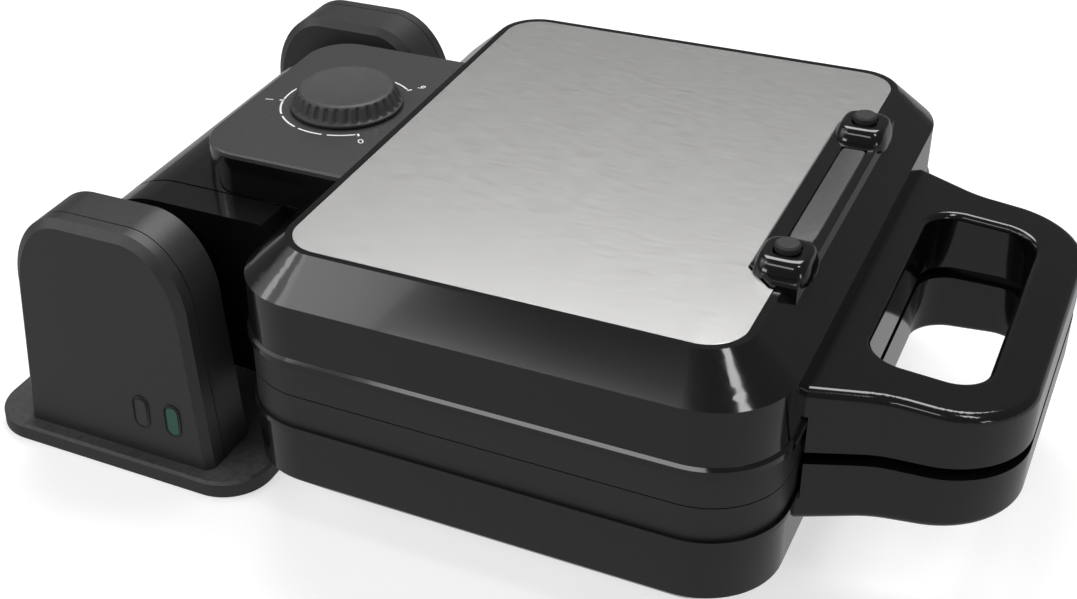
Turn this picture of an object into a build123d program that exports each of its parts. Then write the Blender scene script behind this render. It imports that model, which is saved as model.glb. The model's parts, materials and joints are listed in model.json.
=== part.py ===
from build123d import *
from math import asin, degrees, sqrt
import os

os.makedirs("parts", exist_ok=True)

# Reversible waffle maker, closed and level, millimetres.
# The two cooking halves hinge on one cross axis and turn over as a body in two towers.
# X runs from the towers to the handle, Y from the front tower to the rear one, Z up.

# Table to flip axis
FOOT_RISE = 10.5            # rubber foot above the steel cover, sets the level when flipped
COVER_LEVEL = 58.5          # steel cover above the parting plane
AXIS_Z = COVER_LEVEL + FOOT_RISE
RUNNING_GAP = 0.3           # between faces of different moving bodies
SEAT = 0.05                 # between curved pieces of one body

# Cooking halves, distances along X are counted from the flip axis
COVER_LENGTH, COVER_WIDTH, COVER_CORNER, COVER_SHEET = 185.0, 235.4, 15.7, 1.0
COVER_START = 88.0
RIM = 3.0                   # black rim round the steel cover
BODY_START, BODY_END, BODY_WIDTH, BODY_CORNER = 67.6, 293.0, 272.0, 33.0
FOLD_LEVEL = 43.0           # where the bevel turns into the wall
LIP_LEVEL, LIP_HEIGHT, LIP_PROUD = 15.1, 2.6, 1.2
SHELL_WALL = 2.5
DECK = 2.5                  # shell roof under the steel cover

# Cooking plates
PLATE_GAP = 0.25            # each plate's sealing face to the parting plane
PLATE_TOP = 18.0
SKIRT_INSET = 0.4
SKIRT_WALL, SEAL_SHEET = 3.0, 4.0
FIELD_LENGTH, FIELD_WIDTH, FIELD_DEPTH, FIELD_CORNER, FIELD_RIB = 176.0, 112.0, 14.0, 8.0, 8.0
STUD_PITCH, STUD_BASE, STUD_TIP, STUD_HEIGHT = 22.0, 15.0, 10.5, 8.5
STUDS_ALONG, STUDS_ACROSS = 8, 5
FIELD_WALL = 4.0

# Heater and reflector
HEATER_RADIUS, HEATER_BEND = 3.25, 24.0
HEATER_LENGTH, HEATER_WIDTH, HEATER_TAILS = 150.0, 176.0, 26.0
REFLECTOR_SHEET, REFLECTOR_LENGTH, REFLECTOR_WIDTH, REFLECTOR_CORNER = 0.8, 190.0, 226.0, 18.0

# Foot rest let into the steel cover
REST_START, REST_END, REST_HALF, REST_CHAMFER = 260.5, 281.5, 62.0, 11.0
REST_RISE = 2.5
REST_CLEARANCE = 0.5
REST_TROUGH_START, REST_TROUGH_WIDTH, REST_TROUGH_HALF, REST_TROUGH_DEPTH = 268.0, 10.5, 40.0, 1.2
FOOT_X, FOOT_Y = 272.6, 56.5
BOSS_BASE, BOSS_TIP, BOSS_RISE = 10.0, 6.6, 7.5
FOOT_RADIUS, FOOT_SOCKET = 4.9, 2.0

# Handle
HANDLE_TIP, HANDLE_ROOT_HALF, HANDLE_KNEE_X, HANDLE_KNEE_HALF = 368.0, 92.0, 319.0, 82.0
HANDLE_TIP_HALF, HANDLE_KNEE = 79.0, 40.0
HANDLE_CORNER = 34.0
HANDLE_BOTTOM, HANDLE_ROOT_TOP, HANDLE_TIP_TOP = 2.7, 30.5, 24.5
GRIP_START, GRIP_END, GRIP_HALF, GRIP_CORNER = 305.0, 349.0, 59.0, 14.0
HANDLE_EDGE, GRIP_EDGE = 4.0, 3.0
HANDLE_SCREW_Y, HANDLE_SCREW_LEVEL = 76.0, 23.0
SCREW_RADIUS, SCREW_HEAD, SCREW_HEAD_HEIGHT, SCREW_LENGTH = 2.0, 4.0, 2.4, 14.0

# Hinge barrel, arms and trunnions, all on the flip axis
BARREL_RADIUS = 38.5
BARREL_HALF = 61.0
ARM_START, ARM_END = 62.0, 79.5
ARM_REACH = 67.2            # arm's radius, inside the upper half's swing
PIN_RADIUS, PIN_BORE, PIN_INNER_END = 6.0, 3.5, 48.0
BUSH_WALL = 2.0
SHAFT_FIT = 0.05
COLLAR_RADIUS, JOURNAL_RADIUS, TRUNNION_BORE = 19.0, 13.0, 8.0
CLIP_WIDTH, CLIP_THICKNESS, CLIP_DEPTH = 3.5, 1.6, 1.5

# Control block, panel, thermostat and knob
PANEL_START, PANEL_HALF, PANEL_CORNER, PANEL_SHEET = 10.0, 60.7, 20.0, 2.5
BLOCK_DRAFT = 2.0           # how far the block's walls spread down to the barrel
POCKET_START, POCKET_END, POCKET_HALF, POCKET_FLOOR = 24.0, 64.0, 42.0, 8.0
KNOB_X = 54.4
KNOB_RADIUS, KNOB_TOP_RADIUS, KNOB_HEIGHT, KNOB_LIFT = 25.7, 21.2, 9.4, 0.4
KNOB_RIBS, RIB_WIDTH, RIB_DEPTH = 30, 2.2, 1.3
KNOB_SKIRT = 2.6
SPINDLE_RADIUS, NECK_RADIUS = 3.0, 5.0
THERMOSTAT_X, THERMOSTAT_Y, THERMOSTAT_Z = 16.0, 34.0, 20.0
TERMINAL_X, TERMINAL_Y, TERMINAL_Z = 12.0, 16.0, 12.0

# Towers
TOWER_INNER, TOWER_SEAM, TOWER_OUTER = 96.0, 118.0, 129.5
TOWER_OUTER_TOP = 127.3
TOWER_TOP, TOWER_HALF_TOP, TOWER_HALF_FOOT = 49.5, 44.5, 50.0
ARCH_X, ARCH_Z = 29.0, 38.0
TOWER_BEVEL_Y = 3.4
TOWER_WALL = 2.5
SEAM_GROOVE = 0.5
BOSS_RADIUS, BOSS_DEPTH = 21.0, 14.0
LAMP_X, LAMP_STEP, LAMP_LEVEL = 16.0, 16.5, -38.3
LAMP_WIDTH, LAMP_LENGTH, LAMP_PROUD, LENS_SHOULDER, LENS_FLANGE = 5.6, 14.0, 0.4, 1.2, 1.5
PLUG_X, PLUG_LEVEL, PLUG_RADIUS, PLUG_PROUD, PLUG_DEPTH = -18.0, 28.0, 4.0, 0.5, 2.0
GLAND_LEVEL, GLAND_RADIUS, GLAND_BORE, GLAND_PROUD = -38.0, 6.5, 3.4, 5.0

# Base
BASE_TOP, BASE_HALF_X, BASE_HALF_Y, BASE_CORNER = 8.5, 71.0, 136.5, 22.0
BASE_EDGE = 1.2
PAD_HEIGHT, PAD_RADIUS, PAD_RECESS = 1.0, 8.0, 0.8
WINDOW_EDGE, WINDOW_HALF, WINDOW_CORNER = -23.0, 66.0, 8.0
POST_RADIUS, POST_HEIGHT, POST_X, POST_Y = 5.0, 14.0, 34.0, 108.0

# Derived places in the part's own frame
AXIS_X = (BASE_HALF_X - HANDLE_TIP) / 2
BODY_LENGTH = BODY_END - BODY_START
BODY_X = AXIS_X + (BODY_START + BODY_END) / 2
COVER_X = AXIS_X + COVER_START + COVER_LENGTH / 2
PARTING = Plane.XY.offset(AXIS_Z)
DECK_LEVEL = COVER_LEVEL - COVER_SHEET
LIP_TOP = LIP_LEVEL + LIP_HEIGHT + LIP_PROUD + 0.1
PANEL_END = COVER_START - RIM
BEVEL_SLOPE = (PANEL_END - BODY_START) / (COVER_LEVEL - FOLD_LEVEL)


def level(height):
    """Horizontal plane at a height above the parting plane."""
    return Plane.XY.offset(AXIS_Z + height)


def upright(y):
    """Vertical plane across Y, at the flip axis, drawn in X and Z and facing the front."""
    return Plane(origin=(AXIS_X, y, AXIS_Z), x_dir=(1, 0, 0), z_dir=(0, -1, 0))


def outline(height, length, width, corner, centre=BODY_X):
    """Rounded rectangle of the cooking halves at a height above the parting plane."""
    with BuildSketch(level(height)) as sketch:
        with Locations((centre, 0)):
            RectangleRounded(length, width, corner)
    return sketch.sketch


def body_outline(height, inset=0.0):
    return outline(height, BODY_LENGTH - 2 * inset, BODY_WIDTH - 2 * inset, BODY_CORNER - inset)


def cover_outline(height, grow=0.0):
    return outline(height, COVER_LENGTH + 2 * grow, COVER_WIDTH + 2 * grow, COVER_CORNER + grow, COVER_X)


def rest_outline(height, grow=0.0):
    """Plan of the foot rest, a strip whose two ends run out at 45 degrees."""
    start, end = AXIS_X + REST_START - grow, AXIS_X + REST_END + grow
    near, far = REST_HALF + grow, REST_HALF + grow + REST_CHAMFER
    with BuildSketch(level(height)) as sketch:
        with BuildLine():
            Polyline((start, -near), (start + REST_CHAMFER, -far), (end, -far), (end, far),
                     (start + REST_CHAMFER, far), (start, near), close=True)
        make_face()
    return sketch.sketch


def panel_outline(height, grow=0.0):
    """Plan of the control block, rounded at its free end and run on under the steel cover."""
    reach = PANEL_END - PANEL_START + grow
    half = min(PANEL_HALF + grow, BARREL_HALF)
    with BuildSketch(level(height)) as sketch:
        with Locations((AXIS_X + PANEL_END, 0)):
            RectangleRounded(2 * reach, 2 * half, PANEL_CORNER + grow)
    return sketch.sketch


def screw_centres():
    """Corner screws of a cooking plate, in plan."""
    x = BODY_LENGTH / 2 - BODY_CORNER / 2
    y = BODY_WIDTH / 2 - BODY_CORNER / 2
    return [(BODY_X + i * x, j * y) for i in (-1, 1) for j in (-1, 1)]


PLATE_SCREWS = screw_centres()

# Upper half, its lower twin is its mirror image in the parting plane

# Cooking plate, a casting with two studded fields, a sealing face and a thin skirt
with BuildPart() as upper_cooking_plate:
    extrude(body_outline(PLATE_GAP, SKIRT_INSET), amount=LIP_LEVEL - PLATE_GAP)
    extrude(body_outline(LIP_LEVEL, SKIRT_INSET + SHELL_WALL + 0.5), amount=PLATE_TOP - LIP_LEVEL)
    skirt = body_outline(PLATE_GAP + SEAL_SHEET, SKIRT_INSET + SHELL_WALL + 0.5 + SKIRT_WALL)
    with BuildSketch(level(PLATE_GAP + SEAL_SHEET)):
        add(skirt)
        with Locations((BODY_X, 0)):
            RectangleRounded(FIELD_LENGTH + 2 * FIELD_WALL, 2 * (FIELD_WIDTH + FIELD_WALL) + FIELD_RIB,
                             FIELD_CORNER + FIELD_WALL, mode=Mode.SUBTRACT)
        with Locations(*PLATE_SCREWS):
            Circle(POST_RADIUS + 1, mode=Mode.SUBTRACT)
    extrude(amount=PLATE_TOP, mode=Mode.SUBTRACT)
    with BuildSketch(level(PLATE_GAP)):
        with Locations((BODY_X, 0)):
            with GridLocations(0, FIELD_WIDTH + FIELD_RIB, 1, 2):
                RectangleRounded(FIELD_LENGTH, FIELD_WIDTH, FIELD_CORNER)
    extrude(amount=FIELD_DEPTH - PLATE_GAP, mode=Mode.SUBTRACT)
    with BuildSketch(level(FIELD_DEPTH)):
        with Locations((BODY_X, 0)):
            with GridLocations(0, FIELD_WIDTH + FIELD_RIB, 1, 2):
                with GridLocations(STUD_PITCH, STUD_PITCH, STUDS_ALONG, STUDS_ACROSS):
                    Rectangle(STUD_BASE, STUD_BASE)
    stud_taper = degrees(asin((STUD_BASE - STUD_TIP) / 2 / sqrt(STUD_HEIGHT**2 + (STUD_BASE - STUD_TIP)**2 / 4)))
    extrude(amount=-STUD_HEIGHT, taper=stud_taper)
    with Locations(*[(x, y, AXIS_Z + PLATE_GAP) for x, y in PLATE_SCREWS]):
        Cylinder(SCREW_RADIUS + 0.1, 3 * PLATE_TOP, mode=Mode.SUBTRACT)
        Cone(SCREW_HEAD + 0.1, SCREW_RADIUS + 0.1, SCREW_HEAD_HEIGHT,
             align=(Align.CENTER, Align.CENTER, Align.MIN), mode=Mode.SUBTRACT)

# Countersunk screws that hold the plate to the shell's corner posts
with BuildPart() as upper_plate_screws:
    for x, y in PLATE_SCREWS:
        with Locations((x, y, AXIS_Z + PLATE_GAP)):
            Cone(SCREW_HEAD, SCREW_RADIUS, SCREW_HEAD_HEIGHT, align=(Align.CENTER, Align.CENTER, Align.MIN))
            Cylinder(SCREW_RADIUS, PLATE_TOP + SCREW_LENGTH, align=(Align.CENTER, Align.CENTER, Align.MIN))

# Shell, a moulding with a bevelled roof, a wall and a lip over the cooking plate's skirt
with BuildPart() as upper_shell:
    extrude(body_outline(LIP_LEVEL), amount=FOLD_LEVEL - LIP_LEVEL)
    extrude(body_outline(LIP_LEVEL, -LIP_PROUD), amount=LIP_HEIGHT)
    loft([body_outline(LIP_LEVEL + LIP_HEIGHT, -LIP_PROUD), body_outline(LIP_LEVEL + LIP_HEIGHT + LIP_PROUD, -0.1)])
    loft([body_outline(FOLD_LEVEL), cover_outline(COVER_LEVEL, RIM)])
    rest_drop = COVER_LEVEL - FOLD_LEVEL
    extrude(rest_outline(COVER_LEVEL + REST_RISE - rest_drop), amount=rest_drop)
    chamfer(upper_shell.edges().group_by(Axis.Z)[-1], 1.0)
    with Locations(*[(AXIS_X + FOOT_X, side * FOOT_Y, AXIS_Z + DECK_LEVEL) for side in (-1, 1)]):
        Cone(BOSS_BASE, BOSS_TIP, BOSS_RISE + COVER_SHEET, align=(Align.CENTER, Align.CENTER, Align.MIN))
    # recess for the steel cover, round the foot rest
    with BuildSketch(level(DECK_LEVEL)) as recess:
        add(cover_outline(DECK_LEVEL, 0.4))
        add(rest_outline(DECK_LEVEL), mode=Mode.SUBTRACT)
        with Locations(*[(AXIS_X + FOOT_X, side * FOOT_Y) for side in (-1, 1)]):
            Circle(BOSS_BASE, mode=Mode.SUBTRACT)
    extrude(recess.sketch, amount=2 * COVER_SHEET, mode=Mode.SUBTRACT)
    # inside of the shell
    extrude(body_outline(LIP_LEVEL, SHELL_WALL), amount=FOLD_LEVEL - LIP_LEVEL - 1, mode=Mode.SUBTRACT)
    loft([body_outline(FOLD_LEVEL - 1, SHELL_WALL), cover_outline(DECK_LEVEL - DECK, RIM - SHELL_WALL)],
         mode=Mode.SUBTRACT)
    # trough between the two foot bosses, and the rubber feet's sockets
    with BuildSketch(level(COVER_LEVEL + REST_RISE)) as trough:
        with Locations((AXIS_X + REST_TROUGH_START + REST_TROUGH_WIDTH / 2, 0)):
            Rectangle(REST_TROUGH_WIDTH, 2 * REST_TROUGH_HALF)
    extrude(trough.sketch, amount=-REST_TROUGH_DEPTH, mode=Mode.SUBTRACT)
    with Locations(*[(AXIS_X + FOOT_X, side * FOOT_Y, AXIS_Z + COVER_LEVEL + BOSS_RISE) for side in (-1, 1)]):
        Cylinder(FOOT_RADIUS + SEAT, 2 * FOOT_SOCKET, mode=Mode.SUBTRACT)
    # corner posts for the plate screws
    with Locations(*[(x, y, AXIS_Z + PLATE_TOP) for x, y in PLATE_SCREWS]):
        Cylinder(POST_RADIUS, DECK_LEVEL - DECK - PLATE_TOP - 6, align=(Align.CENTER, Align.CENTER, Align.MIN))
        Cylinder(SCREW_RADIUS + 0.1, 2 * SCREW_LENGTH + 1, mode=Mode.SUBTRACT)
    # handle screw holes in the end wall
    with Locations(*[Plane(origin=(AXIS_X + BODY_END, side * HANDLE_SCREW_Y, AXIS_Z + HANDLE_SCREW_LEVEL),
                           z_dir=(1, 0, 0)) for side in (-1, 1)]):
        Cylinder(SCREW_RADIUS + 0.1, 4 * SHELL_WALL, mode=Mode.SUBTRACT)

# Brushed steel cover with its notch round the foot rest
with BuildPart() as upper_cover_plate:
    with BuildSketch(level(DECK_LEVEL)) as sheet:
        add(cover_outline(DECK_LEVEL))
        add(rest_outline(DECK_LEVEL, REST_CLEARANCE), mode=Mode.SUBTRACT)
    extrude(sheet.sketch, amount=COVER_SHEET)

# Rubber tips, on which the body rests when it is turned over
with BuildPart() as upper_feet:
    for side in (-1, 1):
        with Locations((AXIS_X + FOOT_X, side * FOOT_Y, AXIS_Z + COVER_LEVEL + BOSS_RISE - FOOT_SOCKET)):
            Cylinder(FOOT_RADIUS, FOOT_SOCKET + FOOT_RISE - BOSS_RISE,
                     align=(Align.CENTER, Align.CENTER, Align.MIN))
    chamfer(upper_feet.edges().group_by(Axis.Z)[-1], 0.8)

# Tubular heating element on the back of the plate, a loop with two cold ends
HEATER_LEVEL = PLATE_TOP + HEATER_RADIUS + 0.1
with BuildPart() as upper_heating_element:
    left, right = BODY_X - HEATER_LENGTH / 2, BODY_X + HEATER_LENGTH / 2
    with BuildLine(level(HEATER_LEVEL)) as heater_path:
        FilletPolyline((left - HEATER_TAILS / 2, -HEATER_TAILS), (left + HEATER_BEND * 1.4, -HEATER_TAILS),
                       (left + HEATER_BEND * 1.4, -HEATER_WIDTH / 2), (right, -HEATER_WIDTH / 2),
                       (right, HEATER_WIDTH / 2), (left + HEATER_BEND * 1.4, HEATER_WIDTH / 2),
                       (left + HEATER_BEND * 1.4, HEATER_TAILS), (left - HEATER_TAILS / 2, HEATER_TAILS),
                       radius=HEATER_BEND)
    with BuildSketch(Plane(origin=heater_path.line @ 0, z_dir=heater_path.line % 0)):
        Circle(HEATER_RADIUS)
    sweep()

# Reflector, a shallow sheet tray over the element
with BuildPart() as upper_reflector:
    with BuildSketch(level(HEATER_LEVEL + HEATER_RADIUS + 0.2)):
        with Locations((BODY_X, 0)):
            RectangleRounded(REFLECTOR_LENGTH, REFLECTOR_WIDTH, REFLECTOR_CORNER)
    extrude(amount=REFLECTOR_SHEET)

# Handle half, an open loop that thins towards its tip
with BuildPart() as upper_handle:
    lip_end = BODY_END + LIP_PROUD + 0.2
    with BuildSketch(upright(HANDLE_ROOT_HALF)):
        with BuildLine():
            Polyline((BODY_END, HANDLE_ROOT_TOP), (HANDLE_TIP, HANDLE_TIP_TOP), (HANDLE_TIP, HANDLE_BOTTOM),
                     (lip_end, HANDLE_BOTTOM), (lip_end, LIP_TOP), (BODY_END, LIP_TOP), close=True)
        make_face()
    extrude(amount=2 * HANDLE_ROOT_HALF)
    with BuildSketch(level(0)) as plan:
        with BuildLine():
            FilletPolyline((AXIS_X + BODY_END, -HANDLE_ROOT_HALF), (AXIS_X + HANDLE_KNEE_X, -HANDLE_KNEE_HALF),
                           (AXIS_X + HANDLE_TIP, -HANDLE_TIP_HALF), (AXIS_X + HANDLE_TIP, HANDLE_TIP_HALF),
                           (AXIS_X + HANDLE_KNEE_X, HANDLE_KNEE_HALF), (AXIS_X + BODY_END, HANDLE_ROOT_HALF),
                           radius=[HANDLE_KNEE, HANDLE_CORNER, HANDLE_CORNER, HANDLE_KNEE])
            Line((AXIS_X + BODY_END, HANDLE_ROOT_HALF), (AXIS_X + BODY_END, -HANDLE_ROOT_HALF))
        make_face()
        with Locations((AXIS_X + (GRIP_START + GRIP_END) / 2, 0)):
            RectangleRounded(GRIP_END - GRIP_START, 2 * GRIP_HALF, GRIP_CORNER, mode=Mode.SUBTRACT)
    extrude(plan.sketch, amount=2 * HANDLE_ROOT_TOP, mode=Mode.INTERSECT)
    roof = upper_handle.faces().filter_by(lambda face: face.normal_at().Z > 0.9).sort_by(Axis.Z)[-1]
    fillet(roof.outer_wire().edges().filter_by(lambda edge: edge.center().X > AXIS_X + BODY_END + 1), HANDLE_EDGE)
    roof = upper_handle.faces().filter_by(lambda face: face.normal_at().Z > 0.9).sort_by(Axis.Z)[-1]
    fillet(roof.inner_wires().edges(), GRIP_EDGE)
    with Locations(*[Plane(origin=(AXIS_X + BODY_END, side * HANDLE_SCREW_Y, AXIS_Z + HANDLE_SCREW_LEVEL),
                           z_dir=(1, 0, 0)) for side in (-1, 1)]):
        Cylinder(SCREW_RADIUS + 0.1, 2 * SCREW_LENGTH, mode=Mode.SUBTRACT)

# Pan-head screws through the shell's end wall into the handle
with BuildPart() as upper_handle_screws:
    for side in (-1, 1):
        with Locations(Plane(origin=(AXIS_X + BODY_END - SHELL_WALL, side * HANDLE_SCREW_Y,
                                     AXIS_Z + HANDLE_SCREW_LEVEL), z_dir=(1, 0, 0))):
            Cylinder(SCREW_RADIUS, SCREW_LENGTH, align=(Align.CENTER, Align.CENTER, Align.MIN))
            Cylinder(SCREW_HEAD, SCREW_HEAD_HEIGHT, align=(Align.CENTER, Align.CENTER, Align.MAX))

# Control housing, the hinge barrel and the block that carries the knob
with BuildPart() as control_housing:
    with BuildSketch(upright(BARREL_HALF)):
        Circle(BARREL_RADIUS)
        with BuildLine():
            Polyline((0, BARREL_RADIUS), (BODY_START, BARREL_RADIUS), (BODY_START, LIP_TOP),
                     (BODY_START - LIP_PROUD - 0.1, LIP_TOP),
                     (BODY_START - LIP_PROUD - 0.1, 1.5), (0, 1.5), close=True)
        make_face()
    extrude(amount=2 * BARREL_HALF)
    loft([panel_outline(BARREL_RADIUS - 1, BLOCK_DRAFT), panel_outline(COVER_LEVEL - PANEL_SHEET)])
    # fit against the shell's wall and bevel
    with BuildSketch(upright(2 * BARREL_HALF)):
        with BuildLine():
            Polyline((BODY_START, 0), (BODY_START, FOLD_LEVEL), (PANEL_END + BEVEL_SLOPE, COVER_LEVEL + 1),
                     (3 * PANEL_END, COVER_LEVEL + 1), (3 * PANEL_END, 0), close=True)
        make_face()
    extrude(amount=4 * BARREL_HALF, mode=Mode.SUBTRACT)
    # pocket for the thermostat and the terminals, closed by the panel
    with BuildSketch(level(POCKET_FLOOR)):
        with Locations((AXIS_X + (POCKET_START + POCKET_END) / 2, 0)):
            RectangleRounded(POCKET_END - POCKET_START, 2 * POCKET_HALF, 3)
    extrude(amount=COVER_LEVEL, mode=Mode.SUBTRACT)
    # bores for the hinge bushes
    with Locations(*[Plane(origin=(AXIS_X, side * BARREL_HALF, AXIS_Z), z_dir=(0, side, 0)) for side in (-1, 1)]):
        Cylinder(PIN_RADIUS + SHAFT_FIT + BUSH_WALL + SEAT, 2 * (BARREL_HALF - PIN_INNER_END + 1),
                 mode=Mode.SUBTRACT)

# Control panel, the satin cap of the block
with BuildPart() as control_panel:
    extrude(panel_outline(COVER_LEVEL - PANEL_SHEET), amount=PANEL_SHEET)
    chamfer(control_panel.edges().group_by(Axis.Z)[-1], 0.7)
    with BuildSketch(upright(2 * BARREL_HALF)):
        with BuildLine():
            Polyline((BODY_START - SEAT, 0), (BODY_START - SEAT, FOLD_LEVEL),
                     (PANEL_END + BEVEL_SLOPE - SEAT, COVER_LEVEL + 1), (3 * PANEL_END, COVER_LEVEL + 1),
                     (3 * PANEL_END, 0), close=True)
        make_face()
    extrude(amount=4 * BARREL_HALF, mode=Mode.SUBTRACT)
    with Locations((AXIS_X + KNOB_X, 0, AXIS_Z + COVER_LEVEL)):
        Cylinder(NECK_RADIUS + SEAT, 4 * PANEL_SHEET, mode=Mode.SUBTRACT)

# Thermostat under the panel, with its threaded neck
with BuildPart() as thermostat:
    with Locations((AXIS_X + KNOB_X, 0, AXIS_Z + COVER_LEVEL - PANEL_SHEET)):
        Box(THERMOSTAT_X, THERMOSTAT_Y, THERMOSTAT_Z, align=(Align.CENTER, Align.CENTER, Align.MAX))
        Cylinder(NECK_RADIUS, PANEL_SHEET, align=(Align.CENTER, Align.CENTER, Align.MIN))
        Cylinder(SPINDLE_RADIUS + SHAFT_FIT, 4 * PANEL_SHEET, mode=Mode.SUBTRACT)

# Terminal block on the pocket's floor
with BuildPart() as terminal_block:
    with Locations((AXIS_X + POCKET_START + TERMINAL_X / 2 + 3, 0, AXIS_Z + POCKET_FLOOR)):
        Box(TERMINAL_X, 2 * TERMINAL_Y, TERMINAL_Z, align=(Align.CENTER, Align.CENTER, Align.MIN))
        with GridLocations(0, TERMINAL_Y / 2, 1, 4):
            Cylinder(2, TERMINAL_Z / 2, mode=Mode.SUBTRACT)
    with Locations(*[(AXIS_X + POCKET_START + TERMINAL_X / 2 + 3, y, AXIS_Z + POCKET_FLOOR + TERMINAL_Z)
                     for y in (-0.75 * TERMINAL_Y, -0.25 * TERMINAL_Y, 0.25 * TERMINAL_Y, 0.75 * TERMINAL_Y)]):
        Cylinder(2, TERMINAL_Z, mode=Mode.SUBTRACT)

# Nylon bushes in the barrel's ends
with BuildPart() as hinge_bushes:
    for side in (-1, 1):
        with Locations(Plane(origin=(AXIS_X, side * BARREL_HALF, AXIS_Z), z_dir=(0, -side, 0))):
            Cylinder(PIN_RADIUS + SHAFT_FIT + BUSH_WALL, BARREL_HALF - PIN_INNER_END,
                     align=(Align.CENTER, Align.CENTER, Align.MIN))
            Cylinder(PIN_RADIUS + SHAFT_FIT, 4 * BARREL_HALF, mode=Mode.SUBTRACT)

# Thermostat knob, a fluted cone with a plain foot ring and a hollow underside
with BuildPart() as thermostat_knob:
    foot = AXIS_Z + COVER_LEVEL + KNOB_LIFT
    with Locations((AXIS_X + KNOB_X, 0, foot)):
        Cylinder(KNOB_RADIUS, KNOB_SKIRT, align=(Align.CENTER, Align.CENTER, Align.MIN))
    with Locations((AXIS_X + KNOB_X, 0, foot + KNOB_SKIRT)):
        Cone(KNOB_RADIUS - 0.6, KNOB_TOP_RADIUS, KNOB_HEIGHT - KNOB_LIFT - KNOB_SKIRT,
             align=(Align.CENTER, Align.CENTER, Align.MIN))
    chamfer(thermostat_knob.edges().group_by(Axis.Z)[-1], 0.6)
    with BuildSketch(Plane.XY.offset(foot + KNOB_SKIRT + 0.4)) as flutes:
        with Locations((AXIS_X + KNOB_X, 0)):
            with PolarLocations(KNOB_RADIUS, KNOB_RIBS):
                Rectangle(2 * (RIB_DEPTH + 0.6), RIB_WIDTH)
    extrude(flutes.sketch, amount=KNOB_HEIGHT, taper=-12, mode=Mode.SUBTRACT)
    with Locations((AXIS_X + KNOB_X, 0, foot)):
        Cylinder(KNOB_TOP_RADIUS - 2.5, KNOB_HEIGHT - KNOB_LIFT - 2, align=(Align.CENTER, Align.CENTER, Align.MIN),
                 mode=Mode.SUBTRACT)
        Cylinder(SPINDLE_RADIUS + 3, KNOB_HEIGHT - KNOB_LIFT - 2, align=(Align.CENTER, Align.CENTER, Align.MIN))
        Cylinder(SPINDLE_RADIUS + SEAT, 2 * (KNOB_HEIGHT - KNOB_LIFT - 3), mode=Mode.SUBTRACT)

# Spindle from the thermostat up into the knob's socket
with BuildPart() as thermostat_spindle:
    spindle_top = COVER_LEVEL + KNOB_HEIGHT - 3.2
    spindle_foot = COVER_LEVEL - PANEL_SHEET - PANEL_SHEET * 1.8
    with Locations((AXIS_X + KNOB_X, 0, AXIS_Z + spindle_foot)):
        Cylinder(SPINDLE_RADIUS, spindle_top - spindle_foot, align=(Align.CENTER, Align.CENTER, Align.MIN))

# Lower half, mirror images of the upper pieces
with BuildPart() as lower_cooking_plate:
    mirror(upper_cooking_plate.part, about=PARTING)

with BuildPart() as lower_plate_screws:
    mirror(upper_plate_screws.part, about=PARTING)

with BuildPart() as lower_cover_plate:
    mirror(upper_cover_plate.part, about=PARTING)

with BuildPart() as lower_feet:
    mirror(upper_feet.part, about=PARTING)

with BuildPart() as lower_heating_element:
    mirror(upper_heating_element.part, about=PARTING)

with BuildPart() as lower_reflector:
    mirror(upper_reflector.part, about=PARTING)

with BuildPart() as lower_handle:
    mirror(upper_handle.part, about=PARTING)

with BuildPart() as lower_handle_screws:
    mirror(upper_handle_screws.part, about=PARTING)

# Lower shell, which also carries the hinge arms and the trunnions
with BuildPart() as lower_shell:
    mirror(upper_shell.part, about=PARTING)
    reach_x = sqrt(ARM_REACH**2 - BARREL_RADIUS**2)
    reach_low = -LIP_TOP
    low_x = sqrt(ARM_REACH**2 - reach_low**2)
    for side in (-1, 1):
        with BuildSketch(upright(side * (ARM_START + ARM_END) / 2 + (ARM_END - ARM_START) / 2)):
            Circle(BARREL_RADIUS)
            with BuildLine():
                Polyline((low_x, reach_low), (BODY_START + 0.5, reach_low), (BODY_START + 0.5, -FOLD_LEVEL + 1),
                         (0, -BARREL_RADIUS), (0, BARREL_RADIUS), (reach_x, BARREL_RADIUS))
                CenterArc((0, 0), ARM_REACH, degrees(asin(reach_low / ARM_REACH)),
                          degrees(asin(BARREL_RADIUS / ARM_REACH)) - degrees(asin(reach_low / ARM_REACH)))
            make_face()
        extrude(amount=ARM_END - ARM_START)
        with Locations(Plane(origin=(AXIS_X, side * ARM_END, AXIS_Z), z_dir=(0, side, 0))):
            Cylinder(COLLAR_RADIUS, TOWER_INNER - RUNNING_GAP - ARM_END, align=(Align.CENTER, Align.CENTER, Align.MIN))
            Cylinder(JOURNAL_RADIUS, TOWER_INNER + BOSS_DEPTH + 2 * CLIP_THICKNESS - ARM_END,
                     align=(Align.CENTER, Align.CENTER, Align.MIN))
        with Locations(Plane(origin=(AXIS_X, side * (ARM_END + 2), AXIS_Z), z_dir=(0, side, 0))):
            Cylinder(TRUNNION_BORE, TOWER_OUTER, align=(Align.CENTER, Align.CENTER, Align.MIN), mode=Mode.SUBTRACT)
        with Locations(Plane(origin=(AXIS_X, side * ARM_START, AXIS_Z), z_dir=(0, side, 0))):
            Cylinder(PIN_RADIUS + SEAT, 2 * (ARM_END - ARM_START) + 8, mode=Mode.SUBTRACT)
        with Locations(Plane(origin=(AXIS_X, side * (TOWER_INNER + BOSS_DEPTH + RUNNING_GAP), AXIS_Z),
                             z_dir=(0, side, 0))):
            groove_width = CLIP_THICKNESS + 0.1
            Cylinder(JOURNAL_RADIUS + 1, groove_width, align=(Align.CENTER, Align.CENTER, Align.MIN),
                     mode=Mode.SUBTRACT)
            Cylinder(JOURNAL_RADIUS - CLIP_DEPTH, groove_width, align=(Align.CENTER, Align.CENTER, Align.MIN))
            Cylinder(TRUNNION_BORE, 3 * groove_width, mode=Mode.SUBTRACT)

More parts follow.
